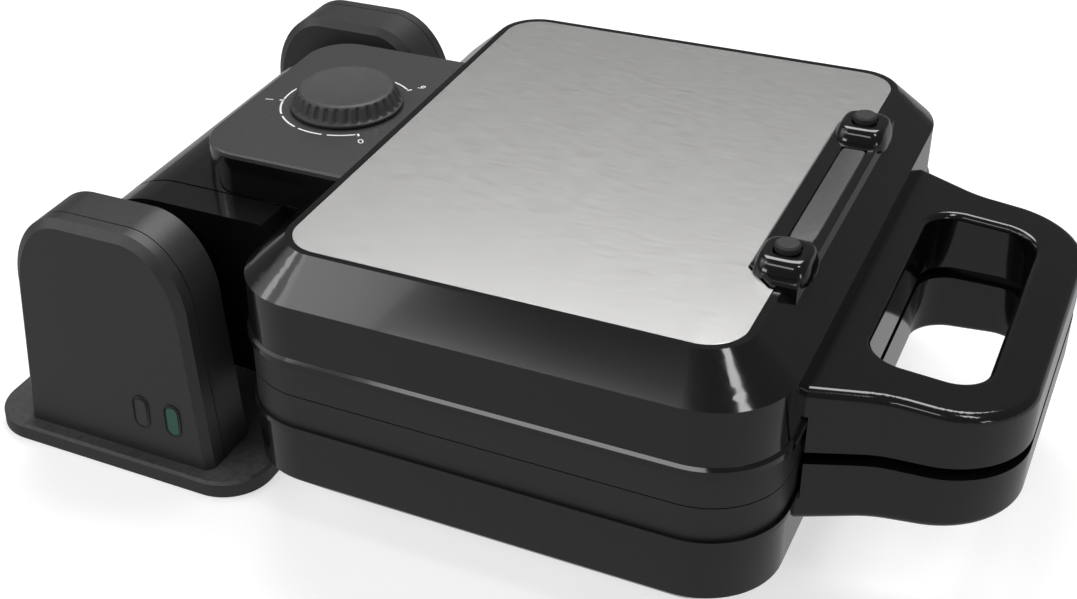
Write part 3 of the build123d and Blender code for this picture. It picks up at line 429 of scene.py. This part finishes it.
    def dress(self, piece: bpy.types.Object, name: str, finish: Finish) -> None:
        """Gives a piece one finish on all its faces.

        Args:
            piece: the mesh object.
            name: the material's name.
            finish: the finish to put on it.
        """
        piece.data.materials.clear()
        piece.data.materials.append(self.material(name, finish))

    def finish_piece(self, piece: bpy.types.Object, body: Body, finish: Finish, name: str = "") -> None:
        """Paints a new piece, puts it on its body and names its slot.

        Args:
            piece: the new piece.
            body: the body that it rides on.
            finish: the finish to put on it.
            name: the material's name, the slot's own if left out.
        """
        self.dress(piece, name or finish.slot, finish)
        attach(piece, body.value)
        LOG.info("finished %s", piece.name)

    def dress_frame(self) -> None:
        """Paints every CAD node with the finish of its record slot."""
        for node, finish in self.by_node.items():
            self.dress(frame["nodes"][node], finish.slot, finish)
            LOG.info("painted %s with %s", node, finish.slot)


@dataclass(frozen=True)
class RoofBevel:
    """The shell's bevel between the wall's outline and the roof's, in metres from the parting plane.

    Attributes:
        parting: height of the parting plane.
        centre: middle of the outlines along X, at the wall and at the roof.
        arc_x: distance of the corner arcs' centres from the middle along X, wall and roof.
        arc_y: the same along Y.
        radius: corner radius, wall and roof.
        level: height above the parting plane, wall and roof.
        slack: how far a point may stand proud before it is laid back.
        rim: share of the bevel's height from which points are left alone, since they are the roof's rim.
        first_share: the share that the first round starts from.
        rounds: how often the share is worked out.
    """

    parting: float = 0.069
    slack: float = 2e-5
    rim: float = 0.90
    first_share: float = 0.4
    rounds: int = 3
    centre: tuple[float, float] = (0.0318, 0.0320)
    arc_x: tuple[float, float] = (0.0797, 0.0768)
    arc_y: tuple[float, float] = (0.1030, 0.1020)
    radius: tuple[float, float] = (0.0330, 0.0187)
    level: tuple[float, float] = (0.0430, 0.0585)

    def flatten(self, data: bpy.types.Mesh) -> None:
        """Lays what stands through a corner of the bevel back on it.

        At a share t of the bevel's height a corner is an arc whose centre and radius run straight from the
        wall's to the roof's. The share for a point is (wall radius - distance to the centre) / radius change,
        worked out over a few rounds because the centre moves with t.

        Args:
            data: the mesh to change.
        """
        flat = np.empty(len(data.vertices) * 3)
        data.vertices.foreach_get("co", flat)
        points = flat.reshape(-1, 3)
        share = np.full(len(points), self.first_share)
        for _ in range(self.rounds):
            centre, arc_x, arc_y = (a + (b - a) * share for a, b in (self.centre, self.arc_x, self.arc_y))
            out_x = np.abs(points[:, 0] - centre) - arc_x
            out_y = np.abs(points[:, 1]) - arc_y
            share = (self.radius[0] - np.hypot(out_x, out_y)) / (self.radius[0] - self.radius[1])
        allowed = self.level[0] + (self.level[1] - self.level[0]) * share
        rise = points[:, 2] - self.parting
        proud = (np.abs(rise) - allowed > self.slack) & (np.abs(rise) > self.level[0] + 10 * self.slack)
        proud &= (out_x > 0) & (out_y > 0) & (share > 0) & (share < self.rim)
        points[proud, 2] = self.parting + np.sign(rise[proud]) * allowed[proud]
        data.vertices.foreach_set("co", points.ravel())
        LOG.info("laid %d points back on the bevel", int(proud.sum()))


class SoftEdges:
    """Stands a welded, smooth-shaded copy in for each outer CAD node, with its sharp edges eased.

    Attributes:
        WELD: distance within which the triangles' corners are merged.
        FLAT_WEIGHT: how strongly large flat faces hold the normals.
    """

    WELD = 4e-6
    FLAT_WEIGHT = 60

    def __init__(self, shop: Paintshop) -> None:
        """Keeps the shop that paints the copies."""
        self.shop = shop

    def ease(self, node: str, body: Body, width: float, crease: float = 28.0) -> None:
        """Copies a node, welds its triangles, and rounds what is sharper than the crease angle.

        Args:
            node: the CAD node.
            body: the body that it rides on.
            width: width of the eased edge.
            crease: angle above which an edge counts as sharp, degrees.
        """
        data = frame["nodes"][node].data.copy()
        welded = bmesh.new()
        welded.from_mesh(data)
        bmesh.ops.remove_doubles(welded, verts=welded.verts, dist=self.WELD)
        welded.to_mesh(data)
        welded.free()
        if node.endswith("_shell"):
            RoofBevel().flatten(data)
        data.shade_smooth()
        data.set_sharp_from_angle(angle=math.radians(crease))
        piece = bpy.data.objects.new(node + "_skin", data)
        bpy.context.scene.collection.objects.link(piece)
        bevel = piece.modifiers.new("eased_edges", "BEVEL")
        bevel.width = width
        bevel.segments = 2
        bevel.limit_method = "ANGLE"
        bevel.angle_limit = math.radians(crease)
        bevel.use_clamp_overlap = True
        bevel.harden_normals = True
        weighted = piece.modifiers.new("flat_faces", "WEIGHTED_NORMAL")
        weighted.keep_sharp = True
        weighted.weight = self.FLAT_WEIGHT
        self.shop.finish_piece(piece, body, self.shop.by_node[node])
        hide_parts(node)


def band_faces(rows: int, columns: int, first: int = 0, closed: bool = False) -> list[list[int]]:
    """Quads of a grid whose columns close on themselves.

    Point (i, j) has the number first + i times the columns + j. A quad runs from (i, j) to (i, j + 1),
    (i + 1, j + 1) and (i + 1, j).

    Args:
        rows: number of rows of points.
        columns: number of points in a row.
        first: number of the first point.
        closed: whether the last row is joined to the first.

    Returns:
        Vertex numbers of each quad.
    """
    i, j = np.meshgrid(np.arange(rows if closed else rows - 1), np.arange(columns), indexing="ij")
    next_i, next_j = (i + 1) % rows, (j + 1) % columns
    row, next_row = first + i * columns, first + next_i * columns
    return np.stack([row + j, row + next_j, next_row + next_j, next_row + j], axis=-1).reshape(-1, 4).tolist()


def mesh_piece(name: str, points: np.ndarray, faces: list[list[int]],
               smooth: bool = True) -> bpy.types.Object:
    """Links a mesh object made from arrays.

    Args:
        name: the object's name.
        points: vertex places in metres, one row each.
        faces: vertex numbers of each face.
        smooth: whether its faces are shaded smooth.

    Returns:
        The new object, at the origin.
    """
    data = bpy.data.meshes.new(name)
    data.from_pydata(points.tolist(), [], faces)
    data.polygons.foreach_set("use_smooth", [smooth] * len(data.polygons))
    data.update()
    piece = bpy.data.objects.new(name, data)
    bpy.context.scene.collection.objects.link(piece)
    return piece


@dataclass
class DialPrint:
    """White scale round the thermostat knob: arc segments, ticks and plain numbers.

    Attributes:
        shop: where its white ink comes from.
        radius: middle radius of the scale.
        width: width of the printed line.
        start: angle of the zero tick, degrees from +X, the scale runs clockwise.
        pitch: angle between segments.
        segments: how many segments there are.
        filled: share of the pitch that is inked.
        ink: height of the print's top above the panel.
        under: height of its underside, as a share of that.
        tick: length of a tick.
        tick_reach: half the angle that a tick covers, degrees.
        step: angle between the points of an arc, degrees.
        number_radius: radius on which the numbers stand.
        number_size: height of the numbers' type.
        marks: number and the segment it stands before.
        centre: the dial's centre on the panel.
    """

    shop: Paintshop
    radius: float = 0.0302
    width: float = 0.00085
    start: float = -52.0
    pitch: float = 28.6
    segments: int = 9
    filled: float = 0.84
    ink: float = 0.00006
    under: float = 0.1
    tick: float = 0.0022
    tick_reach: float = 0.9
    step: float = 1.5
    number_radius: float = 0.0372
    number_size: float = 0.0056
    marks: tuple[tuple[str, int], ...] = (("0", 0), ("1", 4), ("6", 9))
    centre: Vector = field(init=False)

    def __post_init__(self) -> None:
        """Finds the knob's axis and the panel's face in the frame."""
        low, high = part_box("thermostat_knob")
        self.centre = Vector(((low.x + high.x) / 2, (low.y + high.y) / 2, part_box("control_panel")[1].z))

    def _arc(self, name: str, first: float, last: float, inner: float, outer: float) -> bpy.types.Object:
        """Ring sector that lies on the panel: a point is the centre plus r (cos a, sin a), in steps of a.

        Args:
            name: the piece's name.
            first: angle where it starts, degrees.
            last: angle where it ends, smaller than the first, degrees.
            inner: inner radius.
            outer: outer radius.

        Returns:
            The sector as a thin closed slab.
        """
        steps = max(3, int(abs(last - first) / self.step))
        angle = np.radians(np.linspace(first, last, steps))
        rim = np.array([outer, inner, inner, outer])
        lift = np.array([1.0, 1.0, self.under, self.under]) * self.ink
        points = np.stack([self.centre.x + np.outer(np.cos(angle), rim),
                           self.centre.y + np.outer(np.sin(angle), rim),
                           self.centre.z + np.outer(np.ones(steps), lift)], axis=-1).reshape(-1, 3)
        ends = [[3, 2, 1, 0], list(range(4 * steps - 4, 4 * steps))]
        return mesh_piece(name, points, band_faces(steps, len(rim)) + ends, smooth=False)

    def _number(self, text: str, angle: float) -> bpy.types.Object:
        """A plain number whose foot points at the knob's axis.

        Args:
            text: the digits.
            angle: where it stands, degrees.

        Returns:
            The number as a mesh.
        """
        curve = bpy.data.curves.new("dial_number_" + text, "FONT")
        curve.body = text
        curve.size = self.number_size
        curve.align_x = curve.align_y = "CENTER"
        curve.extrude = self.ink / 2
        letter = bpy.data.objects.new("letter", curve)
        bpy.context.scene.collection.objects.link(letter)
        bpy.context.view_layer.update()
        data = bpy.data.meshes.new_from_object(letter)
        bpy.data.objects.remove(letter)
        turn = math.radians(angle)
        place = self.centre + Vector((math.cos(turn), math.sin(turn), 0)) * self.number_radius
        place.z += self.ink * 0.6
        data.transform(Matrix.Translation(place) @ Matrix.Rotation(turn + math.pi / 2, 4, "Z"))
        piece = bpy.data.objects.new("dial_number_" + text, data)
        bpy.context.scene.collection.objects.link(piece)
        return piece

    def build(self) -> None:
        """Prints the whole scale."""
        made = []
        half = self.width / 2
        for index in range(self.segments):
            middle = self.start - self.pitch * (index + 0.5)
            reach = self.pitch * self.filled / 2
            made.append(self._arc(f"dial_segment_{index}", middle + reach, middle - reach,
                                  self.radius - half, self.radius + half))
        for index, (_, at) in enumerate(self.marks):
            angle = self.start - self.pitch * at
            made.append(self._arc(f"dial_tick_{index}", angle + self.tick_reach, angle - self.tick_reach,
                                  self.radius - half, self.radius - half + self.tick))
        made += [self._number(text, self.start - self.pitch * at) for text, at in self.marks]
        for piece in made:
            self.shop.finish_piece(piece, Body.UPPER, PRINT_WHITE, "dial_print")


@dataclass
class LensBezel:
    """Dark bead round an indicator lens, laid where the lens meets the tower's face.

    Attributes:
        shop: the shop that paints it.
        node: the lens it goes round.
        bead: radius of the bead.
        along: points round the slot.
        around: points round the bead.
    """

    shop: Paintshop
    node: str
    bead: float = 0.00032
    along: int = 64
    around: int = 10

    def build(self) -> None:
        """Circle of the bead's radius carried round the lens's slot.

        The slot's outline at angle a is the end arc's centre, above or below the middle, plus the arc's
        radius times (cos a, sin a). At angle b round itself the bead adds its own radius times cos b in that
        direction and times sin b across the tower's face.
        """
        low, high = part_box(self.node)
        arc = (high.x - low.x) / 2
        rise = max((high.z - low.z) / 2 - arc, 0.0)
        turn = np.linspace(0, 2 * np.pi, self.along, endpoint=False) + np.pi / self.along
        roll = np.linspace(0, 2 * np.pi, self.around, endpoint=False)
        out = arc + self.bead * np.cos(roll)
        x = (low.x + high.x) / 2 + np.outer(np.cos(turn), out)
        z = (low.z + high.z) / 2 + np.sign(np.sin(turn))[:, None] * rise + np.outer(np.sin(turn), out)
        y = low.y + np.outer(np.ones(len(turn)), self.bead * np.sin(roll))
        points = np.stack([x, y, z], axis=-1).reshape(-1, 3)
        piece = mesh_piece(self.node + "_bezel", points, band_faces(self.along, self.around, closed=True))
        self.shop.finish_piece(piece, Body.STAND, BY_SLOT["rubber_black"])


@dataclass
class FootRest:
    """Moulded blocks round the rubber feet and the textured strip between them, for one half.

    Attributes:
        shop: the shop that paints them.
        half: the half's name in the frame, upper or lower.
        body: the body they ride on.
        rings: half size along X, half size along Y and level above the parting plane, from the foot up.
        power: exponent of the blocks' outline, 2 an ellipse and higher squarer.
        strip_power: the same for the strip.
        crease: angle above which an edge counts as sharp, degrees.
        around: points round an outline.
        parting: height of the parting plane.
        strip_x: the strip's middle along X.
        strip_rings: the strip's rings, as the blocks' are given.
    """

    shop: Paintshop
    half: str
    body: Body
    rings: tuple[tuple[float, float, float], ...] = (
        (0.0112, 0.0125, 0.0570), (0.0112, 0.0125, 0.0590), (0.0108, 0.0121, 0.0612),
        (0.0100, 0.0110, 0.0636), (0.0094, 0.0101, 0.0650), (0.0088, 0.0092, 0.06565),
        (0.0079, 0.0081, 0.06605), (0.0068, 0.0068, 0.06618), (0.0057, 0.0057, 0.06616),
        (0.0052, 0.0052, 0.0660))
    power: float = 3.4
    strip_power: float = 14.0
    crease: float = 40.0
    around: int = 96
    parting: float = 0.069
    strip_x: float = 0.12475
    strip_rings: tuple[tuple[float, float, float], ...] = (
        (0.0050, 0.0396, 0.0594), (0.0050, 0.0396, 0.06035), (0.0046, 0.0392, 0.06075))

    def _side(self) -> float:
        """Gives 1 for the upper half and -1 for the lower."""
        return 1.0 if self.half == "upper" else -1.0

    def _loft(self, name: str, sections: tuple[tuple[float, float, float], ...],
              middle: tuple[float, float], power: float) -> bpy.types.Object:
        """Closed loft of superellipses: x = a sign(cos) |cos|^(2/n), y = b sign(sin) |sin|^(2/n).

        Args:
            name: the piece's name.
            sections: half size along X and Y and level of each ring, from the foot up.
            middle: the loft's middle in plan.
            power: the outline's exponent n.

        Returns:
            The loft as a mesh.
        """
        rings = np.array(sections)
        turn = np.linspace(0, 2 * np.pi, self.around, endpoint=False)
        wave = np.stack([np.sign(f) * np.abs(f) ** (2 / power) for f in (np.cos(turn), np.sin(turn))])
        side = self._side()
        grid = np.stack([middle[0] + np.outer(rings[:, 0], wave[0]),
                         middle[1] + np.outer(rings[:, 1], wave[1]),
                         self.parting + side * np.outer(rings[:, 2], np.ones(self.around))], axis=-1)
        row = np.arange(self.around)
        faces = band_faces(len(rings), self.around)
        faces += [row[::-1].tolist(), (row + (len(rings) - 1) * self.around).tolist()]
        if side < 0:
            faces = [face[::-1] for face in faces]
        piece = mesh_piece(name, grid.reshape(-1, 3), faces)
        piece.data.set_sharp_from_angle(angle=math.radians(self.crease))
        return piece

    def build(self) -> None:
        """Builds two blocks and one strip for the half."""
        low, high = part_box(self.half + "_feet")
        along = (low.x + high.x) / 2
        reach = (high.y - low.y) / 2 - (high.x - low.x) / 2
        for word, y in (("front", -reach), ("rear", reach)):
            block = self._loft(f"{self.half}_{word}_foot_block", self.rings, (along, y), self.power)
            self.shop.finish_piece(block, self.body, BY_SLOT["gloss_black"])
        strip = self._loft(self.half + "_rest_strip", self.strip_rings, (self.strip_x, 0.0), self.strip_power)
        self.shop.finish_piece(strip, self.body, STRIP_GREY, "strip_grey")


@dataclass
class FlutedKnob:
    """Thermostat knob: skirt, fluted flank and a shallow dished top.

    Attributes:
        shop: the shop that paints it.
        flutes: how many grooves go round.
        depth: how deep a groove is.
        around: points round one flute.
        foot: share of the height where the grooves begin.
        head: share of the height where they end.
        run_in: share of the height over which they deepen.
        run_out: share of the height over which they fade.
        edge: share of the radius inside which there are no grooves.
        crease: angle above which an edge counts as sharp, degrees.
        profile: share of the node's radius and height at each ring, from the foot to the middle.
    """

    shop: Paintshop
    flutes: int = 30
    depth: float = 0.00105
    around: int = 12
    foot: float = 0.22
    head: float = 0.93
    run_in: float = 0.08
    run_out: float = 0.10
    edge: float = 0.84
    crease: float = 50.0
    profile: tuple[tuple[float, float], ...] = (
        (0.0, 0.02), (0.955, 0.02), (0.99, 0.035), (1.0, 0.07), (1.0, 0.17), (0.992, 0.20),
        (0.972, 0.215), (0.965, 0.25), (0.955, 0.30), (0.945, 0.36), (0.930, 0.46), (0.912, 0.58),
        (0.895, 0.70), (0.880, 0.80), (0.868, 0.865), (0.856, 0.915), (0.840, 0.955), (0.818, 0.985),
        (0.795, 0.998), (0.76, 1.0), (0.70, 0.992), (0.45, 0.965), (0.2, 0.955), (0.0, 0.953))

    def build(self) -> None:
        """Radius at angle a and height h is the profile's radius less depth times groove(a) times band(h).

        The groove is the sixth power of the cosine of half the flute angle. The band rises from 0 above the
        skirt to 1 on the flank and falls to 0 where the edge rolls over to the top.
        """
        low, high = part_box("thermostat_knob")
        middle = (low + high) / 2
        reach, tall = (high.x - low.x) / 2, high.z - low.z
        rings = np.array(self.profile)
        turn = np.linspace(0.0, 2 * np.pi, self.flutes * self.around, endpoint=False)
        groove = np.cos(turn * self.flutes / 2) ** 6
        rise = np.clip((rings[:, 1] - self.foot) / self.run_in, 0, 1)
        fall = np.clip((self.head - rings[:, 1]) / self.run_out, 0, 1)
        band = rise * fall * (rings[:, 0] > self.edge)
        radius = rings[:, :1] * reach - self.depth * band[:, None] * groove[None, :]
        grid = np.stack([middle.x + radius * np.cos(turn), middle.y + radius * np.sin(turn),
                         low.z + rings[:, 1:] * tall + 0 * radius], axis=-1)
        count, steps = len(rings), len(turn)
        points = np.vstack([grid[0, :1], grid[1:-1].reshape(-1, 3), grid[-1, :1]])
        row = np.arange(steps)
        after = (row + 1) % steps
        last = 1 + (count - 3) * steps
        under = np.stack([0 * row, 1 + after, 1 + row], axis=1).tolist()
        over = np.stack([0 * row + len(points) - 1, last + row, last + after], axis=1).tolist()
        piece = mesh_piece("knob_skin", points, band_faces(count - 2, steps, first=1) + under + over)
        piece.data.set_sharp_from_angle(angle=math.radians(self.crease))
        self.shop.finish_piece(piece, Body.KNOB, self.shop.by_node["thermostat_knob"])
        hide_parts("thermostat_knob")


@dataclass(frozen=True)
class SoftBox:
    """One rectangular studio light.

    Attributes:
        name: the light's name.
        place: its place.
        size: its width and height.
        power: its power in watts.
        target: the point that it faces.
    """

    name: str
    place: tuple[float, float, float]
    size: tuple[float, float]
    power: float
    target: tuple[float, float, float] = (0.0, 0.0, 0.08)

    def build(self) -> None:
        """Hangs the light."""
        data = bpy.data.lights.new(self.name, "AREA")
        data.shape = "RECTANGLE"
        data.size, data.size_y = self.size
        data.energy = self.power
        lamp = bpy.data.objects.new(self.name, data)
        aim = (Vector(self.target) - Vector(self.place)).to_track_quat("-Z", "Y")
        lamp.matrix_world = Matrix.Translation(self.place) @ aim.to_matrix().to_4x4()
        bpy.context.scene.collection.objects.link(lamp)


@dataclass
class Studio:
    """Camera, floor and soft lights that match the photograph's view.

    Attributes:
        place: the camera's place in metres.
        elevation: how far it looks down, degrees.
        azimuth: how far it is turned about the vertical, degrees.
        roll: its tilt about its own line of sight, degrees.
        focal_pixels: focal length in pixels of the full image.
        image: image size in pixels.
        centre_pixel: where the line of sight meets the image.
        sensor: width of the film in millimetres.
        floor_size: side of the floor.
        paper: colour of the floor.
        paper_glow: light that the floor gives of its own, so that shadows stay faint.
        paper_seen: brightness of the floor in gloss faces.
        glow_side: direction of the soft glow beside the towers that the gloss faces see.
        glow_edge: cosine of the angle at which that glow ends.
        room: brightness of the surroundings outside the glow and in its middle.
        boxes: the lights.
    """

    place: tuple[float, float, float] = (0.2495, -0.5815, 0.4594)
    elevation: float = 32.87
    azimuth: float = 29.74
    roll: float = -3.4
    focal_pixels: float = 1651.1
    image: tuple[float, float] = (1077.0, 599.0)
    centre_pixel: tuple[float, float] = (380.4, 296.9)
    sensor: float = 36.0
    floor_size: float = 14.0
    paper: float = 0.55
    paper_glow: float = 0.62
    paper_seen: float = 0.42
    glow_side: tuple[float, float, float] = (-0.80, -0.32, 0.55)
    glow_edge: float = 0.86
    room: tuple[float, float] = (0.15, 1.5)
    boxes: tuple[SoftBox, ...] = (
        SoftBox("overhead_box", (-0.1, 0.75, 1.7), (1.5, 0.8), 29.0, (0.0, 0.0, 0.1)),
        SoftBox("front_bar", (-0.10, -1.30, 1.30), (1.3, 0.26), 5.0),
        SoftBox("edge_box", (-0.93, -1.0, 1.30), (0.45, 0.40), 1.5),
        SoftBox("tier_box", (-1.34, -0.55, 1.0), (0.20, 0.20), 0.5, (-0.05, 0.0, 0.1)),
        SoftBox("low_left_box", (-0.9, -1.5, 0.42), (0.6, 0.22), 2.6),
        SoftBox("low_right_box", (1.6, -0.8, 0.35), (0.3, 0.25), 1.2, (0.1, 0.0, 0.08)),
        SoftBox("right_box", (0.92, -0.38, 1.35), (0.26, 0.42), 3.2, (0.1, 0.0, 0.08)),
    )

    def camera(self) -> None:
        """Creates the camera and makes it the scene's own."""
        data = bpy.data.cameras.new("photo_camera")
        data.sensor_width = self.sensor
        data.lens = self.focal_pixels / self.image[0] * self.sensor
        data.shift_x = (self.image[0] / 2 - self.centre_pixel[0]) / self.image[0]
        data.shift_y = -(self.image[1] / 2 - self.centre_pixel[1]) / self.image[0]
        data.clip_start = 0.01
        camera = bpy.data.objects.new("photo_camera", data)
        turn = (Matrix.Rotation(math.radians(self.azimuth), 4, "Z")
                @ Matrix.Rotation(math.radians(90 - self.elevation), 4, "X")
                @ Matrix.Rotation(math.radians(self.roll), 4, "Z"))
        camera.matrix_world = Matrix.Translation(self.place) @ turn
        bpy.context.scene.collection.objects.link(camera)
        bpy.context.scene.camera = camera

    def floor(self) -> None:
        """Lays a pale floor that gives some light of its own and looks dimmer in gloss faces."""
        half = self.floor_size / 2
        points = np.array([(-half, -half, 0), (half, -half, 0), (half, half, 0), (-half, half, 0)])
        piece = mesh_piece("floor", points, [[0, 1, 2, 3]], smooth=False)
        made = bpy.data.materials.new("floor_paper")
        made.use_nodes = True
        tree = made.node_tree
        shader = tree.nodes["Principled BSDF"]
        shader.inputs["Base Color"].default_value = (self.paper, self.paper, self.paper, 1)
        shader.inputs["Roughness"].default_value = 0.9
        shader.inputs["Specular IOR Level"].default_value = 0.0
        glow = tree.nodes.new("ShaderNodeEmission")
        glow.inputs["Color"].default_value = (1.0, 1.0, 1.0, 1)
        glow.inputs["Strength"].default_value = self.paper_glow
        seen = tree.nodes.new("ShaderNodeEmission")
        seen.inputs["Color"].default_value = (1.0, 1.0, 1.0, 1)
        seen.inputs["Strength"].default_value = self.paper_seen
        path = tree.nodes.new("ShaderNodeLightPath")
        both = tree.nodes.new("ShaderNodeAddShader")
        tree.links.new(shader.outputs[0], both.inputs[0])
        tree.links.new(glow.outputs[0], both.inputs[1])
        pick = tree.nodes.new("ShaderNodeMixShader")
        tree.links.new(path.outputs["Is Glossy Ray"], pick.inputs[0])
        tree.links.new(both.outputs[0], pick.inputs[1])
        tree.links.new(seen.outputs[0], pick.inputs[2])
        tree.links.new(pick.outputs[0], tree.nodes["Material Output"].inputs["Surface"])
        piece.data.materials.append(made)

    def world(self) -> None:
        """Sets a white backdrop for the camera, and a dim room with one soft glow for everything else."""
        world = bpy.data.worlds.new("studio_world")
        bpy.context.scene.world = world
        world.use_nodes = True
        tree = world.node_tree
        tree.nodes.clear()
        white = tree.nodes.new("ShaderNodeBackground")
        white.inputs["Color"].default_value = (1, 1, 1, 1)
        white.inputs["Strength"].default_value = 1.0
        dim = tree.nodes.new("ShaderNodeBackground")
        dim.inputs["Color"].default_value = (1, 1, 1, 1)
        lobe = tree.nodes.new("ShaderNodeVectorMath")
        lobe.operation = "DOT_PRODUCT"
        lobe.inputs[1].default_value = Vector(self.glow_side).normalized()
        tree.links.new(tree.nodes.new("ShaderNodeTexCoord").outputs["Generated"], lobe.inputs[0])
        fade = tree.nodes.new("ShaderNodeMapRange")
        fade.interpolation_type = "SMOOTHSTEP"
        fade.inputs["From Min"].default_value = self.glow_edge
        fade.inputs["From Max"].default_value = 1.0
        fade.inputs["To Min"].default_value, fade.inputs["To Max"].default_value = self.room
        tree.links.new(lobe.outputs["Value"], fade.inputs["Value"])
        tree.links.new(fade.outputs["Result"], dim.inputs["Strength"])
        path = tree.nodes.new("ShaderNodeLightPath")
        pick = tree.nodes.new("ShaderNodeMixShader")
        out = tree.nodes.new("ShaderNodeOutputWorld")
        tree.links.new(path.outputs["Is Camera Ray"], pick.inputs[0])
        tree.links.new(dim.outputs[0], pick.inputs[1])
        tree.links.new(white.outputs[0], pick.inputs[2])
        tree.links.new(pick.outputs[0], out.inputs[0])

    def build(self) -> None:
        """Sets up the whole studio."""
        self.camera()
        self.floor()
        self.world()
        for box in self.boxes:
            box.build()
        bpy.context.scene.view_settings.view_transform = "Standard"


def main() -> None:
    """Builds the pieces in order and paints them."""
    logging.basicConfig(level=logging.INFO, format="%(message)s")
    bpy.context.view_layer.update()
    shop = Paintshop(ShaderGroups())
    shop.dress_frame()
    edges = SoftEdges(shop)
    for node, body, width in EASED:
        edges.ease(node, body, width)
    FlutedKnob(shop).build()
    FootRest(shop, "upper", Body.UPPER).build()
    FootRest(shop, "lower", Body.LOWER).build()
    for lens in ("power_light_lens", "ready_light_lens"):
        LensBezel(shop, lens).build()
    DialPrint(shop).build()
    Studio().build()


if __name__ == "__main__":
    main()
